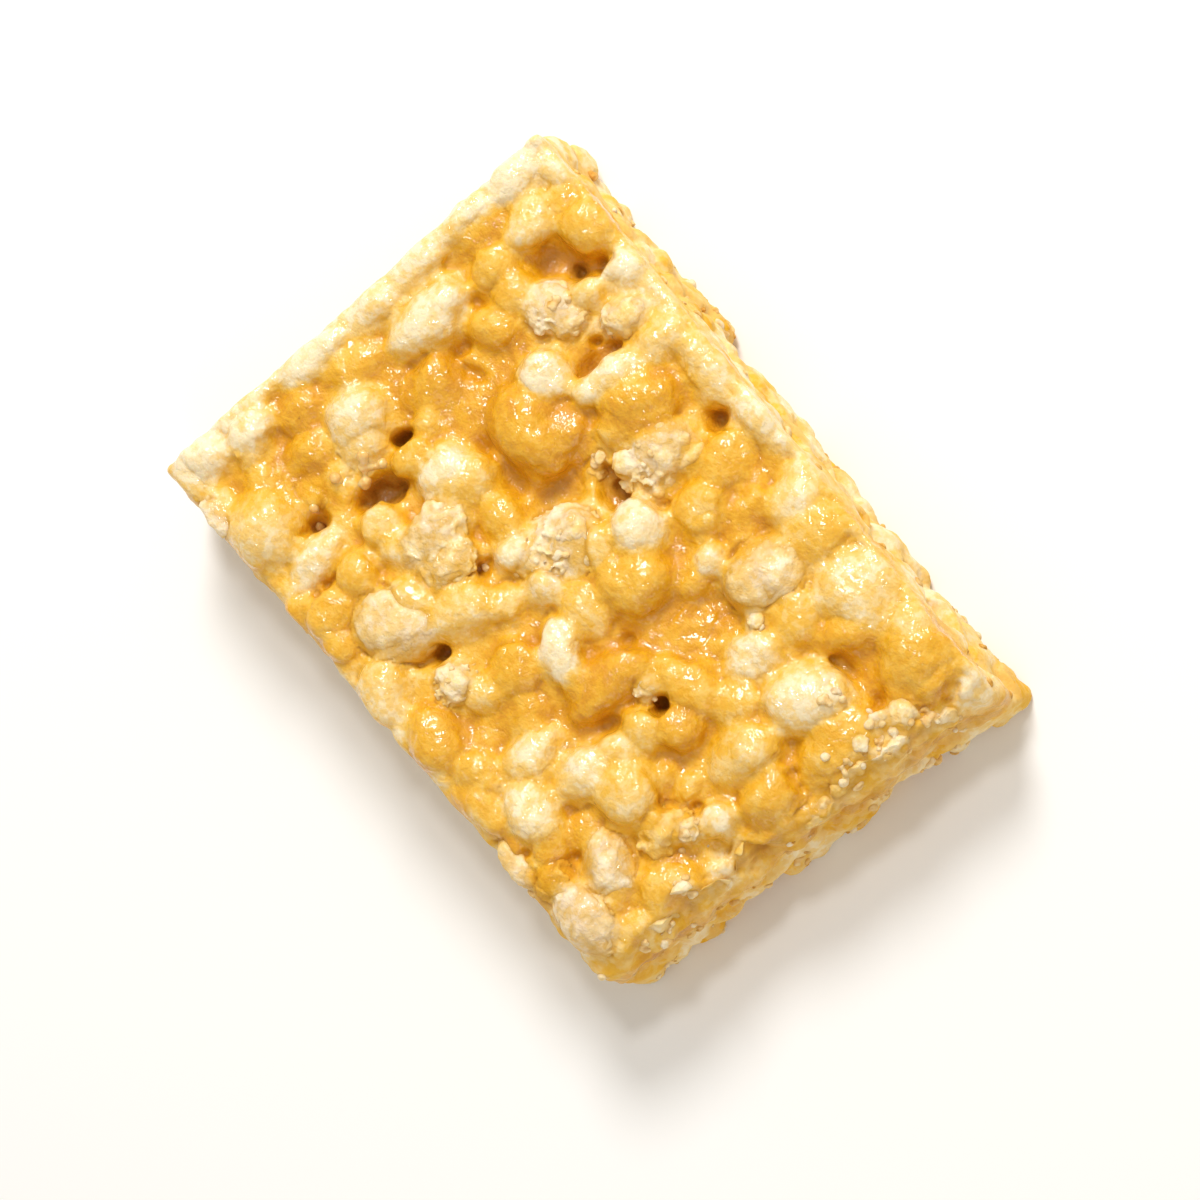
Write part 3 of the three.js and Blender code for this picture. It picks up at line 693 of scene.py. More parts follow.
def trimToCut(points):
    # the knife: nothing stands out past the four walls, nor below the tray
    x, y, z = points[:, 0].copy(), points[:, 1].copy(), points[:, 2].copy()
    level = np.clip(z / bar["meanTop"], 0, 1)
    for wall in range(4):
        wayX, wayY = wallWays[wall]
        along = x if wayY else y
        out = wallDistances(x, y)[wall]
        over = np.where(out > -4, np.maximum(out - wallLimit(wall, along, z), 0), 0)
        x -= over * wayX * knife["taken"][wall]
        y -= over * wayY * knife["taken"][wall]
    z = np.maximum(np.where(z < 0.25, 0.25 - (0.25 - z) * 0.1, z), 0)
    # round the upright corners
    for sideX, sideY in ((-1, -1), (1, -1), (1, 1), (-1, 1)):
        radius = bar["wornCornerRadius"] if (sideX, sideY) == (-1, 1) else bar["cornerRadius"]
        walls = wallDistances(x, y)
        endOn, sideOn = (2 if sideX < 0 else 3), (0 if sideY < 0 else 1)
        dx = walls[endOn] - bar["flare"][endOn] * (1 - level) + radius
        dy = walls[sideOn] - bar["flare"][sideOn] * (1 - level) + radius
        far = np.hypot(dx, dy)
        past = (dx > 0) & (dy > 0) & (far > radius)
        pull = np.where(past, 1 - radius / np.maximum(far, 1e-6), 0)
        x -= sideX * dx * pull
        y -= sideY * dy * pull
    return np.stack([x, y, z], axis=1)


def carveHoles(points):
    # opens the deep gaps again with torn, ragged rims
    x, y, z = points[:, 0], points[:, 1], points[:, 2].copy()
    flat = np.stack([x, y, np.zeros_like(x)], axis=1)
    ragged = addNoises(flat, holeRims)
    drop = np.zeros(len(points))
    for row in tornHoles:
        inside = (1 - inTurned(x, y, row) ** 0.5) * min(row[2], row[3]) / 2 + ragged
        drop = np.maximum(drop, holeShare * row[5] * smoothStep(inside, -0.15, 0.45))
    upper = smoothStep(z, 8.0, 12.5)
    return np.stack([x, y, z - drop * upper], axis=1)


def makeMass(grains):
    bed = makeBed()
    print("bed laid")
    onTop = [grain for grain in grains if grain["part"] == "top"]
    others = [grain for grain in grains if grain["part"] != "top"]
    joinInto(bed, [popGrains("topGrains", onTop, 4), popGrains("otherGrains", others, 3)])
    remesh(bed, bar["voxel"])
    print("grains joined:", len(bed.data.polygons))
    swell(bed, bar["fillet"])
    remesh(bed, bar["voxel"])
    swell(bed, -bar["fillet"])
    writePoints(bed.data, trimToCut(carveHoles(readPoints(bed.data))))
    remesh(bed, bar["voxel"])
    dropSmallShells(bed, 0.5)
    print("creases filled:", len(bed.data.polygons))
    return bed


def nearestGrains(points, grains, chunk=20000):
    # the nearest grain to each point, and how deep in that grain's ellipsoid the point lies (1 on its skin)
    middle = np.array([grain["place"] for grain in grains])
    radii = np.array([grain["radii"] for grain in grains])
    turns = np.array([Euler(grain["turn"]).to_matrix() for grain in grains])
    shrink = turns / radii[:, None, :]  # turns into the grain's axes and divides by its radii
    which = np.empty(len(points), dtype=np.int64)
    depth = np.empty(len(points))
    for start in range(0, len(points), chunk):
        arm = points[start:start + chunk, None] - middle[None]
        local = np.einsum("pgi,gij->pgj", arm, shrink)
        far = np.sqrt((local**2).sum(axis=2))
        which[start:start + chunk] = far.argmin(axis=1)
        depth[start:start + chunk] = far.min(axis=1)
    return which, depth


def addAttribute(mesh, name, values):
    layer = mesh.attributes.new(name, "FLOAT", "POINT")
    layer.data.foreach_set("value", np.clip(values, 0, 1).astype(np.float32))


def thin(thing, most):
    count = sum(len(p.vertices) - 2 for p in thing.data.polygons)
    if count <= most:
        return
    fewer = thing.modifiers.new("fewer", "DECIMATE")
    fewer.ratio = most / count
    applyModifiers(thing)


def findSeams(points):
    # the line round each grain that shows and the one between two that touch, broken along its way
    line = np.zeros(len(points))
    high = np.flatnonzero(points[:, 2] > 11)
    sharp = np.array([seam["sharpness"][row[7]] for row in topGrains])
    ringAt = np.array([seam["ringAt"][row[7]] for row in topGrains])
    size = np.array([min(row[2], row[3]) / 2 for row in topGrains])
    for start in range(0, len(high), 40000):
        part = high[start:start + 40000]
        spots = points[part]
        x = spots[:, 0] + seam["wobble"] * softNoise(spots, seam["wobbleSize"], 91)
        y = spots[:, 1] + seam["wobble"] * softNoise(spots, seam["wobbleSize"], 92)
        far = np.sqrt(np.stack([inTurned(x, y, row) for row in topGrains], axis=1))
        first, second = np.argpartition(far, 1, axis=1)[:, :2].T
        everyone = np.arange(len(part))
        near, after = far[everyone, first], far[everyone, second]
        ring = np.exp(-((near - ringAt[first]) * size[first] / seam["ringWidth"]) ** 2) * sharp[first]
        between = np.exp(-((after - near) * size[first] / seam["betweenWidth"]) ** 2)
        between *= np.maximum(sharp[first], sharp[second]) * (near < 1.02)
        line[part] = np.maximum(ring, between)
    return line * smoothStep(softNoise(points, seam["brokenSize"], 28), -0.5, 0.2)


sculpt = {
    "meltedSize": 8.0,  # of the places where the film has run smooth
    "melted": 0.8,
    "meltedRounds": 24,
    "roughSize": 4.0,  # and of those where it is lumpy
    "wrinkleSize": 3.2,
    "wrinkleWidth": 0.16,
    "wrinkleDepth": 0.13,
    "lumps": [  # size, seed, height everywhere, more where the film is rough, more where the end has crumbled
        (2.4, 21, 0.10, 0.10, 0.0),
        (1.1, 22, 0.04, 0.10, 0.0),
        (2.2, 17, 0.0, 0.0, 0.45),
        (1.0, 18, 0.0, 0.0, 0.22),
        (0.55, 24, 0.03, 0.0, 0.0),
    ],
}


def sculptMass(thing):
    mesh = thing.data
    points = spreadOver(mesh, readPoints(mesh), 2)
    # the -X end has crumbled, so its top edge is worn round
    worn = smoothStep(wallDistances(points[:, 0], points[:, 1])[2], -4.2, -1.6)
    worn *= smoothStep(points[:, 2], 5.0, 9.0)
    melted = sculpt["melted"] * smoothStep(softNoise(points, sculpt["meltedSize"], 29), -0.1, 0.4)
    melted *= smoothStep(points[:, 2], 11.0, 13.0)
    even = spreadOver(mesh, points, sculpt["meltedRounds"])
    points += (even - points) * np.maximum(worn, melted)[:, None]
    writePoints(mesh, points)
    normals = readNormals(mesh)
    rough = smoothStep(softNoise(points, sculpt["roughSize"], 27), -0.1, 0.5)
    rough *= 1 - 0.7 * melted
    relief = np.zeros(len(points))
    for size, seed, height, onRough, onWorn in sculpt["lumps"]:
        relief += (height + onRough * rough + onWorn * worn) * softNoise(points, size, seed)
    wrinkle = np.abs(softNoise(points, sculpt["wrinkleSize"], 26)) / sculpt["wrinkleWidth"]
    relief -= sculpt["wrinkleDepth"] * rough * np.clip(1 - wrinkle, 0, 1)
    relief -= seam["depth"] * findSeams(points)
    relief *= smoothStep(points[:, 2], 0.2, 1.4)  # the underside was pressed flat
    writePoints(mesh, points + normals * relief[:, None])


def measureHollows(thing):
    # how far each point lies below the skin around it, for a narrow and a wide reach
    mesh = thing.data
    points = readPoints(mesh)
    normals = readNormals(mesh)
    near = spreadOver(mesh, points, 9)
    narrow = ((near - points) * normals).sum(axis=1)
    wide = ((spreadOver(mesh, near, 70) - points) * normals).sum(axis=1)
    return narrow, wide


def measureLevel(points):
    # the level of the top face, evened out over a few grains, as something that can be read at any place
    cell, reach = 0.5, 2.4
    low = points[:, :2].min(axis=0) - 2
    spot = ((points[:, :2] - low) / cell).astype(int)
    height = np.zeros(spot.max(axis=0) + 5)
    np.maximum.at(height, (spot[:, 0], spot[:, 1]), points[:, 2])
    weight = (height > 8).astype(float)
    height = height * weight
    steps = np.arange(-int(3 * reach / cell), int(3 * reach / cell) + 1) * cell
    bell = np.exp(-0.5 * (steps / reach) ** 2)
    for axis in (0, 1):
        height = np.apply_along_axis(np.convolve, axis, height, bell, "same")
        weight = np.apply_along_axis(np.convolve, axis, weight, bell, "same")
    level = height / np.maximum(weight, 1e-6)

    def levelOf(places):
        at = np.clip(((places[:, :2] - low) / cell).astype(int), 0, np.array(level.shape) - 1)
        return level[at[:, 0], at[:, 1]]
    return levelOf


paint = {  # paleness runs from 0, deep golden glaze, to 1, bare cream
    "binder": 0.36,  # the melted binder's own
    "binderStray": 0.20,
    "rimPaler": 0.35,  # the glaze is thin along the -Y and +X edges
    "wallBinderDarker": 0.2,
    "stains": [(2.4, 42, 0.14), (0.9, 43, 0.08)],  # size, seed, amount
    # painted shade: low places and wide hollows go more golden, partly for the glaze that pools there and
    # partly as shade, and steep flanks go more golden as shade
    "lowDarker": 0.14,
    "wideHollowDarker": 0.15,
    "steepDarker": 0.18,
    "knifeStreak": 0.3,
    # painted shade darkens the creases, where the glaze also pools, and the low places, the gaps between the
    # cut grains on the walls and the seams round the grains
    "creasePoolShade": 0.6,
    "lowShade": 0.7,
    "wallGapShade": 0.5,
    "seamShade": 0.5,
}


def paintSkin(thing, grains, levelOf):
    mesh = thing.data
    points = readPoints(mesh)
    narrow, wide = measureHollows(thing)
    which, depth = nearestGrains(points, grains)
    tone = np.array([grain["tone"] for grain in grains])[which]
    dry = np.array([grain["kind"] in "dc" for grain in grains], dtype=float)[which]
    crumbly = np.array([grain["kind"] == "c" for grain in grains], dtype=float)[which]
    onGrain = smoothStep(1.5 - depth, 0, 0.55)
    walls = wallDistances(points[:, 0], points[:, 1])
    edge = walls.max(axis=0)
    binder = paint["binder"] + paint["binderStray"] * softNoise(points, 6.0, 41)
    binder += paint["rimPaler"] * smoothStep(walls[[0, 3]].max(axis=0), -4.0, -2.0)
    onWall = smoothStep(edge, -2.6, -0.8) * smoothStep(-points[:, 2], -15.2, -13.6)
    onWall *= 1 - 0.6 * smoothStep(walls[2], -1.6, -0.4) * smoothStep(points[:, 2], 6.0, 11.0)
    binder -= paint["wallBinderDarker"] * onWall
    mix = binder * (1 - onGrain) + tone * onGrain
    mix = spreadOver(mesh, mix, 8)
    mix += addNoises(points, paint["stains"])
    lowness = spreadOver(mesh, levelOf(points) - points[:, 2], 3) * (1 - onWall)
    steep = 1 - smoothStep(spreadOver(mesh, readNormals(mesh)[:, 2], 3), 0.2, 0.95)
    # painted shade: low places, wide hollows and steep flanks are made more golden; in the low places and
    # hollows this is partly the thicker glaze that pools there
    mix -= paint["lowDarker"] * np.clip(lowness, -1.0, 1.4)
    mix -= paint["wideHollowDarker"] * np.clip(wide, 0, 0.6)
    mix -= paint["steepDarker"] * steep * (1 - onWall) * (1 - 0.7 * crumbly)
    stretch = knife["streakStretch"]
    for wall, amount in enumerate(knife["paleness"]):
        along = np.array([stretch, 1, 1]) if wallWays[wall][1] else np.array([1, stretch, 1])
        streak = paint["knifeStreak"] * softNoise(points * along, 0.9, 44) * smoothStep(points[:, 2], 7, 12)
        mix += (amount + streak) * onWall * (walls.argmax(axis=0) == wall)
    # the second layer is glaze pooled in the creases with painted shade over it, and painted shade in the low
    # places, between the cut grains and along the seams round the grains
    hollow = paint["creasePoolShade"] * smoothStep(narrow, 0.02, 0.2) * (1 - 0.8 * crumbly)
    hollow += paint["lowShade"] * smoothStep(lowness, 0.5, 2.4)
    hollow += paint["wallGapShade"] * onWall * smoothStep(-edge, 0.6, 2.2)  # painted shade between the cut grains
    # painted shade down in the holes of the top face, over the brown of the glaze that pools there
    deep = smoothStep(-points[:, 2], -13.2, -12.0) * (edge < -2.0) * smoothStep(points[:, 2], 4, 7)
    if thing is glazedMass:
        hollow += paint["seamShade"] * findSeams(points) * (1 - onWall)
    addAttribute(mesh, "paleness", mix)
    addAttribute(mesh, "hollow", hollow)
    addAttribute(mesh, "dryness", spreadOver(mesh, np.maximum(dry * 0.5, crumbly) * onGrain, 3))
    addAttribute(mesh, "cut", onWall)
    addAttribute(mesh, "depth", spreadOver(mesh, deep, 2))


grains = layGrains()
glazedMass = makeMass(grains)
sculptMass(glazedMass)
thin(glazedMass, bar["mostTriangles"])
levelOf = measureLevel(readPoints(glazedMass.data))
paintSkin(glazedMass, grains, levelOf)
print("mass ready:", len(glazedMass.data.polygons))


# the bare grains: finer skins that break out through the glaze

bare = {
    "voxel": 0.2,
    "seed": 5,
    "chipsPerArea": 9,
    "chipSize": (0.35, 0.8),
    "proud": 0.0,  # how far the bare crown stands out of the glaze
    "sunk": 0.35,  # and how far its sides stay under
    "patch": 0.30,  # unevenness of the edge of the bare patch
    "patchSize": 1.8,
    "relief": 0.05,  # twice as much where the grain has crumbled
    "reliefSize": 1.0,
    "poreDepth": 0.04,  # four times as much there
    "poreSize": 0.55,
    "floor": 12.4,  # what lies lower, down inside the bar, is never seen
    "mostTriangles": 190000,
}


def layChips(dry):
    # crumbled grains are covered in little broken chips
    rng = random.Random(bare["seed"])
    chips = []
    for grain in dry:
        if grain["kind"] != "c":
            continue
        radii = grain["radii"]
        for _ in range(int(bare["chipsPerArea"] * radii[0] * radii[1])):
            turn, lift = rng.uniform(0, 2 * math.pi), rng.uniform(0.15, 1.0)
            flat = math.sqrt(1 - lift * lift)
            size = rng.uniform(*bare["chipSize"])
            place = [grain["place"][0] + radii[0] * flat * math.cos(turn),
                     grain["place"][1] + radii[1] * flat * math.sin(turn),
                     grain["place"][2] + radii[2] * lift - 0.4 * size]
            girths = (size / 2, size * rng.uniform(0.3, 0.5), size * rng.uniform(0.3, 0.5))
            turns = tuple(rng.uniform(0, 3.1) for _ in range(3))
            chips.append(grainRow(tuple(place), girths, turns, grain["tone"], "c", "chip"))
    return chips


def makeBareGrains(grains):
    dry = [grain for grain in grains if grain["part"] == "top" and grain["kind"] in "dcf"]
    thing = popGrains("bareGrains", dry, 5)
    joinInto(thing, [popGrains("chips", layChips(dry), 2)])
    remesh(thing, bare["voxel"])
    mesh = thing.data
    points = readPoints(mesh)
    normals = readNormals(mesh)
    which = nearestGrains(points, dry)[0]
    crumbly = np.array([grain["kind"] == "c" for grain in dry], dtype=float)[which]
    crumbly = spreadOver(mesh, crumbly, 4)
    up = smoothStep(normals[:, 2], 0.0, 0.85)
    out = -bare["sunk"] + (bare["sunk"] + bare["proud"]) * up
    out += bare["patch"] * (0.4 + 0.6 * crumbly) * softNoise(points, bare["patchSize"], 51)
    relief = bare["relief"] * (1 + crumbly) * roughNoise(points, bare["reliefSize"], 52, 2)
    pores = np.clip(softNoise(points, bare["poreSize"], 55) - 0.15, 0, 1)
    relief -= bare["poreDepth"] * (1 + 3 * crumbly) * pores
    points = points + normals * (out + relief)[:, None]
    writePoints(mesh, trimToCut(points))
    bm = bmesh.new()
    bm.from_mesh(mesh)
    everything = bm.verts[:] + bm.edges[:] + bm.faces[:]
    cut = bmesh.ops.bisect_plane(bm, geom=everything, plane_co=(0, 0, bare["floor"]),
                                 plane_no=(0, 0, 1), clear_inner=True)
    rim = [edge for edge in cut["geom_cut"] if isinstance(edge, bmesh.types.BMEdge)]
    bmesh.ops.holes_fill(bm, edges=rim)
    bmesh.ops.triangulate(bm, faces=[face for face in bm.faces if len(face.verts) > 4])
    bm.to_mesh(mesh)
    bm.free()
    dropSmallShells(thing, 0.01)
    thin(thing, bare["mostTriangles"])
    paintSkin(thing, dry, levelOf)
    return thing


def makeTree(thing):
    mesh = thing.data
    return BVHTree.FromPolygons([v.co for v in mesh.vertices], [p.vertices for p in mesh.polygons])


def shadeContact(thing, other, reach):
    # painted shade along the line where two skins meet
    tree = makeTree(other)
    near = np.array([min(tree.find_nearest(v.co, reach)[3] or reach, reach) for v in thing.data.vertices])
    layer = thing.data.attributes["hollow"]
    hollow = np.empty(len(near))
    layer.data.foreach_get("value", hollow)
    hollow = np.clip(hollow + 0.7 * (1 - near / reach) ** 1.5, 0, 1)
    layer.data.foreach_set("value", hollow.astype(np.float32))


bareGrains = makeBareGrains(grains)
shadeContact(glazedMass, bareGrains, 0.7)
shadeContact(bareGrains, glazedMass, 0.35)
print("bare grains ready:", len(bareGrains.data.polygons))


# crumbs of broken grain that cling to the cut walls and lie on the glaze beside them

crumb = {
    "seed": 31,
    "wallCount": 300,
    "size": (0.6, 2.2),
    "topSize": (0.5, 1.5),
    "sunk": 0.74,  # share of its size that is bedded in the bar
    "lowest": 0.6,
    "climb": 12.5,  # how far up the walls they reach from there
    "chips": [(0.9, 72, 0.16), (0.42, 73, 0.12)],
    "voxel": 0.17,
    "mostTriangles": 150000,
}
crumbSpots = [  # place, spread, how many: where they lie on the top face
    (-34.4, -11.4, 0.9, 3), (-33.5, -14.0, 1.2, 5), (-36.0, -13.0, 2.0, 12), (-36.6, -18.0, 1.8, 10),
    (-35.8, -8.0, 1.6, 8), (-34.2, 12.6, 0.9, 4), (-35.6, 18.0, 2.0, 10), (-30.0, 8.4, 1.2, 5),
    (22.8, -15.0, 1.8, 8), (3.4, -12.8, 2.2, 9), (-17.6, -10.8, 0.8, 3), (6.7, 8.6, 0.6, 2),
    (-1.6, 18.4, 1.4, 5), (2.4, 0.8, 2.0, 7), (7.4, -8.4, 0.8, 4), (-28.9, -12.2, 1.3, 5),
]


def makeCrumbs():
    rng = random.Random(crumb["seed"])
    tree = makeTree(glazedMass)
    bits = []

    def place(start, way, size, tone):
        spot = tree.ray_cast(start, way)[0]
        if spot is None:
            return
        spot = spot - way * (0.5 - crumb["sunk"]) * size
        girths = (size / 2, size * rng.uniform(0.32, 0.5), size * rng.uniform(0.32, 0.5))
        turns = tuple(rng.uniform(0, 3.1) for _ in range(3))
        bits.append(grainRow(tuple(spot), girths, turns, tone, "c", "crumb"))

    girth = 4 * (halfLength + halfWidth)
    for _ in range(crumb["wallCount"]):
        run = rng.uniform(0, girth)
        wall = (0 if run < 2 * halfLength else 3 if run < girth / 2
                else 1 if run < girth - 2 * halfWidth else 2)
        side = run % (girth / 2)
        x, y = (side - halfLength, 0) if side < 2 * halfLength else (0, side - 2 * halfLength - halfWidth)
        x, y = planPlace(x, y)
        z = crumb["lowest"] + crumb["climb"] * rng.random() ** 1.4
        size = rng.uniform(*crumb["size"]) * rng.uniform(0.6, 1.0)
        outward = Vector((*wallWays[wall], 0))
        start = Vector((float(x), float(y), z)) + outward * 60
        place(start, -outward, size, rng.uniform(0.2, 1.0))
    for x, y, spread, count in crumbSpots:
        for _ in range(count):
            start = Vector((rng.gauss(x, spread * 0.6), rng.gauss(y, spread * 0.6), 30))
            place(start, Vector((0, 0, -1)), rng.uniform(*crumb["topSize"]), rng.uniform(0.6, 1.0))
    thing = popGrains("crumbs", bits, 3)
    remesh(thing, crumb["voxel"])
    mesh = thing.data
    points = readPoints(mesh)
    points = points + readNormals(mesh) * addNoises(points, crumb["chips"])[:, None]
    writePoints(mesh, np.maximum(points, [-1000, -1000, 0.05]))
    thin(thing, crumb["mostTriangles"])
    mesh = thing.data
    points = readPoints(mesh)
    which, depth = nearestGrains(points, bits)
    tone = np.array([bit["tone"] for bit in bits])[which]
    addAttribute(mesh, "paleness", tone + 0.2 * softNoise(points, 0.8, 71))
    # painted shade where a crumb's skin dips in between its bits
    addAttribute(mesh, "hollow", 0.5 * smoothStep(-depth, -0.95, -0.8))
    for name, value in (("dryness", 1.0), ("cut", 0.0), ("depth", 0.0)):
        addAttribute(mesh, name, np.full(len(points), value))
    return thing


crumbs = makeCrumbs()
shadeContact(crumbs, glazedMass, 0.25)
print("crumbs laid:", len(crumbs.data.polygons))


# threads of marshmallow that were pulled out across the gaps as it cooled

strand = {
    "seed": 8,
    "voxel": 0.11,
    "beads": 26,  # each thread is a row of these, melted together
    "radius": 0.65,  # at its roots
    "waist": 0.24,
}
strandRuns = [  # from, to, sag
    ((25.0, 15.4), (22.7, 13.2), 0.3),
    ((24.6, 11.4), (22.6, 13.6), 0.3),
    ((23.9, 12.2), (22.9, 10.4), 0.2),
    ((24.4, 19.6), (23.2, 20.9), 0.2),
]


def makeStrands():
    tree = makeTree(glazedMass)
    rng = random.Random(strand["seed"])
    beads = []
    for start, end, sag in strandRuns:
        near, far = (tree.ray_cast(Vector((*spot, 30)), Vector((0, 0, -1)))[0] for spot in (start, end))
        bend = Vector((rng.uniform(-0.5, 0.5), rng.uniform(-0.5, 0.5), 0))
        for n in range(strand["beads"]):
            t = n / (strand["beads"] - 1)
            arch = 4 * t * (1 - t)
            thick = (1 - t) ** 3 + t**3
            size = strand["waist"] + (strand["radius"] - strand["waist"]) * thick
            spot = near.lerp(far, t) + bend * arch - Vector((0, 0, sag * arch + 0.1))
            beads.append(grainRow(tuple(spot), (size, size, size), (0, 0, 0), 0.8, "g", "strand"))
    thing = popGrains("strands", beads, 3)
    remesh(thing, strand["voxel"])
    mesh = thing.data
    writePoints(mesh, spreadOver(mesh, readPoints(mesh), 3))
    points = readPoints(mesh)
    addAttribute(mesh, "paleness", 0.4 + 0.3 * softNoise(points, 1.5, 81))
    for name in ("hollow", "dryness", "cut", "depth"):
        addAttribute(mesh, name, np.zeros(len(points)))
    return thing


strands = makeStrands()
print("strands pulled:", len(strands.data.polygons))


def finishPiece(thing, material):
    mesh = thing.data
    points = readPoints(mesh)
    points[:, 0] += bar["shift"][0]
    points[:, 1] += bar["shift"][1]
    writePoints(mesh, points * mm)
    mesh.polygons.foreach_set("use_smooth", np.ones(len(mesh.polygons), dtype=bool))
    mesh.update()
    mesh.materials.clear()
    mesh.materials.append(material)
    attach(thing, "root")


# materials

def toLinear(hexColour):
    parts = [int(hexColour[i:i + 2], 16) / 255 for i in (0, 2, 4)]
    return (*[c / 12.92 if c <= 0.04045 else ((c + 0.055) / 1.055) ** 2.4 for c in parts], 1)


def addNode(tree, kind, settings=None, links=None, output=0):
    # one node with its settings (attributes, input values or a ramp's stops) and what feeds its inputs
    node = tree.nodes.new(kind)
    for name, value in (settings or {}).items():
        if name == "stops":
            while len(node.color_ramp.elements) < len(value):
                node.color_ramp.elements.new(0.5)
            for element, (place, colour) in zip(node.color_ramp.elements, value):
                element.position = place
                element.color = toLinear(colour)
        elif isinstance(name, str) and hasattr(node, name):
            setattr(node, name, value)
        else:
            node.inputs[name].default_value = value
    for name, source in (links or {}).items():
        tree.links.new(source, node.inputs[name])
    return node.outputs[output]


def newMaterial(name):
    material = bpy.data.materials.new(name)
    material.use_nodes = True
    tree = material.node_tree
    return material, tree, tree.nodes["Principled BSDF"]


glaze = {  # melted marshmallow and butter over puffed grain: amber where it pools, cream where it is thin
    "tones": [(0.0, "DC980A"), (0.25, "EAAC18"), (0.5, "F1BC40"), (0.75, "F6D07E"), (1.0, "FDE8BE")],
    "poolShadeColour": "B4781E",  # in the creases: pooled glaze with painted shade
    # painted shade at the bottom of the holes, over the brown of the glaze pooled there
    "shadedHole": "B87E28",
    "cutCream": "F0D096",  # the broken grain on the cut walls
    "roughness": 0.36,
    "ior": 1.46,
    "specular": 0.3,
    "subsurface": 0.25,
    "radius": (0.8, 0.65, 0.35),
    "scatter": 0.0006,
    "coat": 1.0,
    "coatRoughness": 0.05,
    "coatIor": 1.55,  # syrup on top of the glaze gives small, bright glints
    "wrinkle": 0.5,
    "grain": 0.55,
    "film": 1.0,  # the wrinkles of the wet film break its glints up
}
bareSkin = {**glaze,  # bare puffed grain: matte and porous, the butter only stains its pores
            "tones": [(0.0, "E0A024"), (0.25, "ECB43C"), (0.5, "F4C766"), (0.75, "F9DA98"), (1.0, "FDEAC6")],
            "roughness": 0.46, "coat": 0.6, "coatRoughness": 0.12, "wrinkle": 0.5, "grain": 0.9}

crumbSkin = {**bareSkin,  # crumbs are dry all through
             "tones": [(0.0, "D2963A"), (0.25, "E4B05A"), (0.5, "EFC680"), (0.75, "F5D69C"), (1.0, "F8E4BE")],
             "roughness": 0.6, "coat": 0.0}

pulled = {**glaze,  # pulled marshmallow is thin enough to glow
          "tones": [(0.0, "E0A040"), (0.5, "F3CB80"), (1.0, "FBE8C4")],
          "roughness": 0.3, "subsurface": 0.6, "scatter": 0.001, "wrinkle": 0.15}

patterns = {  # size in millimetres, detail, roughness and distortion of each noise
    "mottle": (1.0, 3.0, 0.5, 0.0),  # stains of butter
    "chunk": (3.2, 3.0, 0.6, 0.4),  # cut grains
    "speck": (0.36, 2.0, 0.5, 0.0),  # pores
    "wrinkle": (1.1, 5.0, 0.6, 0.5),  # of the cooled film
    "film": (2.0, 2.0, 0.45, 1.2),  # rolls in the wet film over it
}
mixFactor, mixFirst, mixSecond, mixColour = 0, 6, 7, 2  # sockets of a mix node that is set to colours


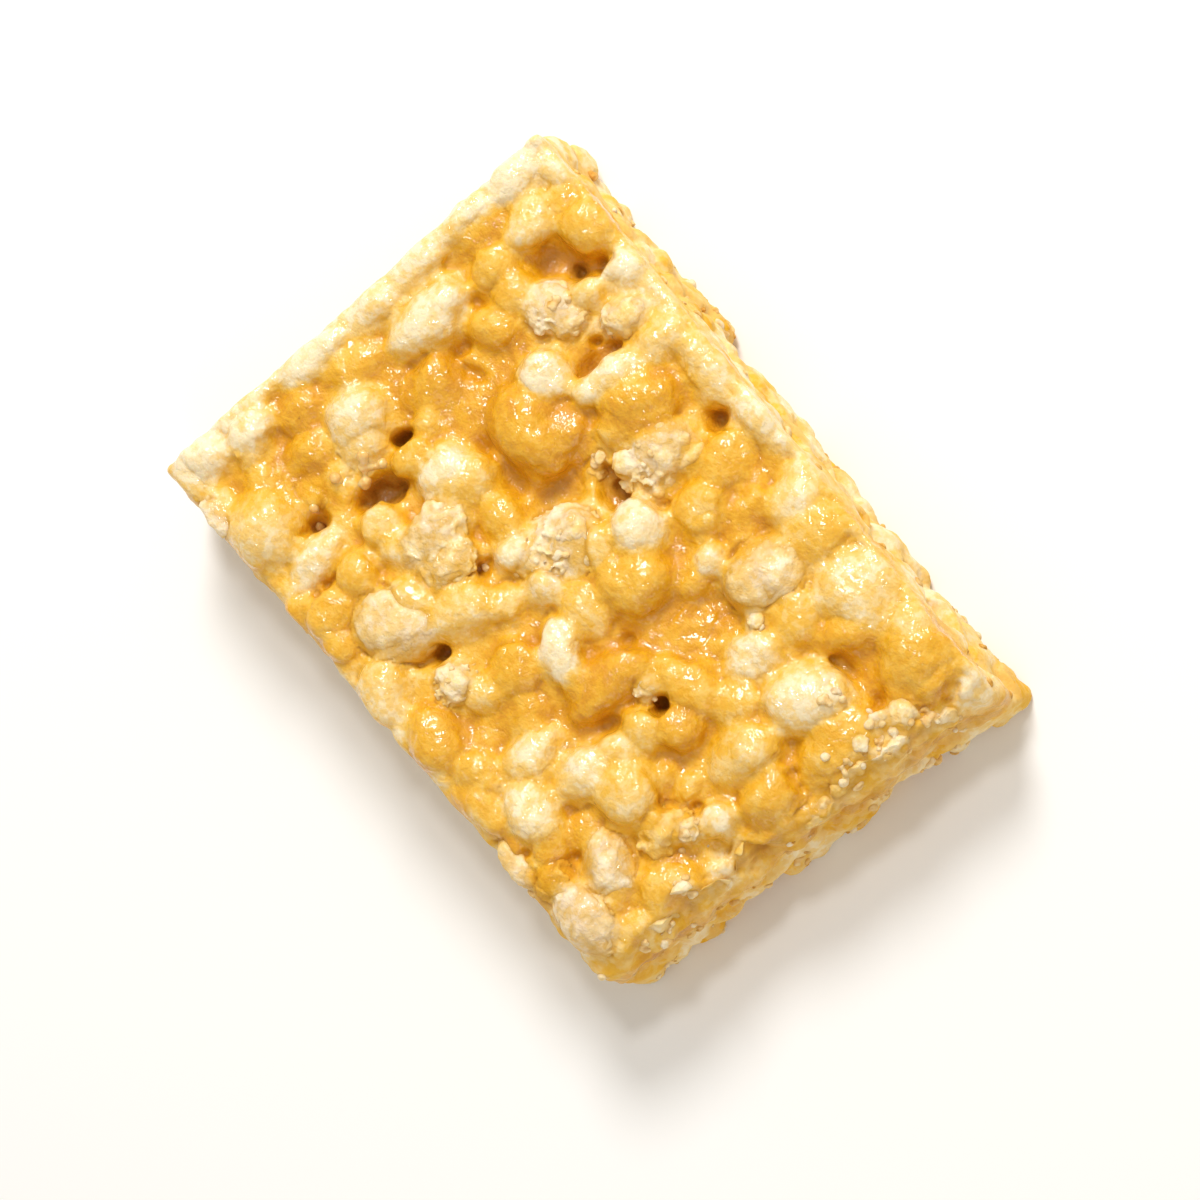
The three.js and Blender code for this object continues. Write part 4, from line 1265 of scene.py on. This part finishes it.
def makeSkin(name, look):
    material, tree, shader = newMaterial(name)
    place = addNode(tree, "ShaderNodeTexCoord", output="Object")
    paleness, hollow, dryness, cut, depth = [
        addNode(tree, "ShaderNodeAttribute", {"attribute_name": layer}, output="Fac")
        for layer in ("paleness", "hollow", "dryness", "cut", "depth")]
    mottle, chunk, speck, wrinkle, film = [
        addNode(tree, "ShaderNodeTexNoise", {"Scale": 1 / (size * mm), "Detail": detail, "Roughness": rough,
                                             "Distortion": distortion}, {"Vector": place}, "Fac")
        for size, detail, rough, distortion in patterns.values()]

    # stains and specks shift the tone, and so do the pooled glaze and painted shade in the hollows; the ramp
    # turns it into a colour
    pool = addNode(tree, "ShaderNodeMapRange",
                   {"interpolation_type": "SMOOTHSTEP", "From Min": 0.47, "From Max": 0.55, "To Min": -0.325,
                    "To Max": -0.225}, {"Value": mottle}, "Result")
    tone = paleness
    for source, share in ((mottle, 0.35), (speck, 0.2), (hollow, -0.2)):
        tone = addNode(tree, "ShaderNodeMath", {"operation": "MULTIPLY_ADD", 1: share}, {0: source, 2: tone})
    tone = addNode(tree, "ShaderNodeMath", {"operation": "ADD", "use_clamp": True}, {0: tone, 1: pool})
    colour = addNode(tree, "ShaderNodeValToRGB", {"stops": look["tones"]}, {"Fac": tone}, "Color")

    # cream where the knife went through a grain; brown in the creases and the holes, partly pooled glaze and
    # partly painted shade
    chunk = addNode(tree, "ShaderNodeMath", {"operation": "MULTIPLY_ADD", 1: 0.05}, {0: tone, 2: chunk})
    chunk = addNode(tree, "ShaderNodeMapRange",
                    {"interpolation_type": "SMOOTHSTEP", "From Min": 0.49, "From Max": 0.53, "To Max": 0.3},
                    {"Value": chunk}, "Result")
    cream = addNode(tree, "ShaderNodeMath", {"operation": "MULTIPLY"}, {0: cut, 1: chunk})
    crease = addNode(tree, "ShaderNodeMath", {"operation": "POWER", 1: 1.5}, {0: hollow})
    poolShadeShare = addNode(tree, "ShaderNodeMath", {"operation": "MULTIPLY", 1: 0.6}, {0: crease})
    deep = addNode(tree, "ShaderNodeMath", {"operation": "MULTIPLY", 1: 0.85}, {0: depth})
    for amount, colourOver in ((cream, "cutCream"), (poolShadeShare, "poolShadeColour"), (deep, "shadedHole")):
        colour = addNode(tree, "ShaderNodeMix", {"data_type": "RGBA", mixSecond: toLinear(look[colourOver])},
                         {mixFactor: amount, mixFirst: colour}, mixColour)
    tree.links.new(colour, shader.inputs["Base Color"])

    # dry grain and cut walls are rougher and have no wet coat
    matt = addNode(tree, "ShaderNodeMath", {"operation": "MAXIMUM"}, {0: dryness, 1: cut})
    rough = addNode(tree, "ShaderNodeMath",
                    {"operation": "MULTIPLY_ADD", 1: 0.3, 2: look["roughness"] - 0.15}, {0: matt})
    rough = addNode(tree, "ShaderNodeMath", {"operation": "MULTIPLY_ADD", "use_clamp": True, 1: 0.3},
                    {0: mottle, 2: rough})
    tree.links.new(rough, shader.inputs["Roughness"])
    creased = addNode(tree, "ShaderNodeMath", {"operation": "MULTIPLY", 1: 0.6}, {0: hollow})
    dull = addNode(tree, "ShaderNodeMath", {"operation": "MAXIMUM"}, {0: matt, 1: creased})
    shine = addNode(tree, "ShaderNodeMath", {"operation": "MULTIPLY_ADD", 1: -look["coat"], 2: look["coat"]},
                    {0: dull})
    tree.links.new(shine, shader.inputs["Coat Weight"])
    for socket, value in (("IOR", look["ior"]), ("Specular IOR Level", look["specular"]),
                          ("Subsurface Weight", look["subsurface"]), ("Subsurface Radius", look["radius"]),
                          ("Subsurface Scale", look["scatter"]), ("Coat Roughness", look["coatRoughness"]),
                          ("Coat IOR", look["coatIor"])):
        shader.inputs[socket].default_value = value

    # wrinkles of the cooled film, the fine grain under it, and the wet film's own rolls
    bump = addNode(tree, "ShaderNodeBump", {"Strength": look["wrinkle"], "Distance": 0.5 * mm},
                   {"Height": wrinkle}, "Normal")
    fine = addNode(tree, "ShaderNodeBump", {"Strength": look["grain"], "Distance": 0.15 * mm},
                   {"Height": speck, "Normal": bump}, "Normal")
    wet = addNode(tree, "ShaderNodeBump", {"Strength": look["film"], "Distance": 0.7 * mm},
                  {"Height": film}, "Normal")
    tree.links.new(fine, shader.inputs["Normal"])
    tree.links.new(wet, shader.inputs["Coat Normal"])
    return material


finishPiece(glazedMass, makeSkin("meltedMarshmallowGlaze", glaze))
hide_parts("treat_bar")
finishPiece(bareGrains, makeSkin("barePuffedGrain", bareSkin))
finishPiece(crumbs, makeSkin("grainCrumb", crumbSkin))
finishPiece(strands, makeSkin("pulledMarshmallow", pulled))
print("pieces finished")


# floor, light and camera

studio = {
    "floorSize": 8.0,  # metres
    "floorTone": "F7F6F4",
    "floorRoughness": 0.8,
    "sky": "FFFAF2",
    "skyStrength": 0.5,
    "lens": 85,
    "azimuth": -52.5,  # the photograph looks down steeply from the -X, -Y corner, turned on its side
    "elevation": 73.0,
    "roll": -77.0,
    "distance": 306,
    "aim": (-3.3, 1.9, 8.5),
}


def makeFloor():
    bm = bmesh.new()
    bmesh.ops.create_grid(bm, x_segments=1, y_segments=1, size=studio["floorSize"] / 2)
    floor = addObject("floor", bm)
    material, tree, shader = newMaterial("paleCard")
    shader.inputs["Base Color"].default_value = toLinear(studio["floorTone"])
    shader.inputs["Roughness"].default_value = studio["floorRoughness"]
    floor.data.materials.append(material)


def makeCamera():
    turn = math.radians(studio["azimuth"])
    lift = math.radians(studio["elevation"])
    back = Vector((math.sin(turn) * math.cos(lift), -math.cos(turn) * math.cos(lift), math.sin(lift)))
    aim = Vector(studio["aim"]) + Vector((*bar["shift"], 0))
    place = (aim + back * studio["distance"]) * mm
    flatRight = (-back).cross(Vector((0, 0, 1))).normalized()
    flatUp = flatRight.cross(-back)
    roll = math.radians(studio["roll"])
    right = math.cos(roll) * flatRight + math.sin(roll) * flatUp
    up = -math.sin(roll) * flatRight + math.cos(roll) * flatUp
    data = bpy.data.cameras.new("camera")
    data.lens = studio["lens"]
    data.sensor_width = 36
    data.clip_start = 0.01
    camera = bpy.data.objects.new("camera", data)
    camera.matrix_world = Matrix(((right.x, up.x, back.x, place.x),
                                  (right.y, up.y, back.y, place.y),
                                  (right.z, up.z, back.z, place.z),
                                  (0, 0, 0, 1)))
    bpy.context.scene.collection.objects.link(camera)
    bpy.context.scene.camera = camera
    return right, up, back


def addLamp(name, way, distance, size, power, colour):
    data = bpy.data.lights.new(name, "AREA")
    data.shape = "DISK"
    data.size = size
    data.energy = power
    data.color = toLinear(colour)[:3]
    lamp = bpy.data.objects.new(name, data)
    lamp.location = way.normalized() * distance
    lamp.rotation_euler = way.to_track_quat("Z", "Y").to_euler()
    bpy.context.scene.collection.objects.link(lamp)


makeFloor()
right, up, back = makeCamera()
addLamp("key", up * 1.0 - right * 0.3 + back * 0.8, 0.7, 0.22, 3.2, "FFFFFF")
addLamp("glints", up * 0.55 - right * 0.25 + back * 1.0, 0.7, 0.1, 1.0, "FFFFFF")
addLamp("fill", back * 1.0 - up * 0.9 + right * 0.3, 0.9, 0.6, 1.0, "FFF6E8")
world = bpy.data.worlds.new("studio")
world.use_nodes = True
sky = world.node_tree.nodes["Background"]
sky.inputs["Color"].default_value = toLinear(studio["sky"])
sky.inputs["Strength"].default_value = studio["skyStrength"]
bpy.context.scene.world = world
bpy.context.scene.view_settings.view_transform = "Standard"
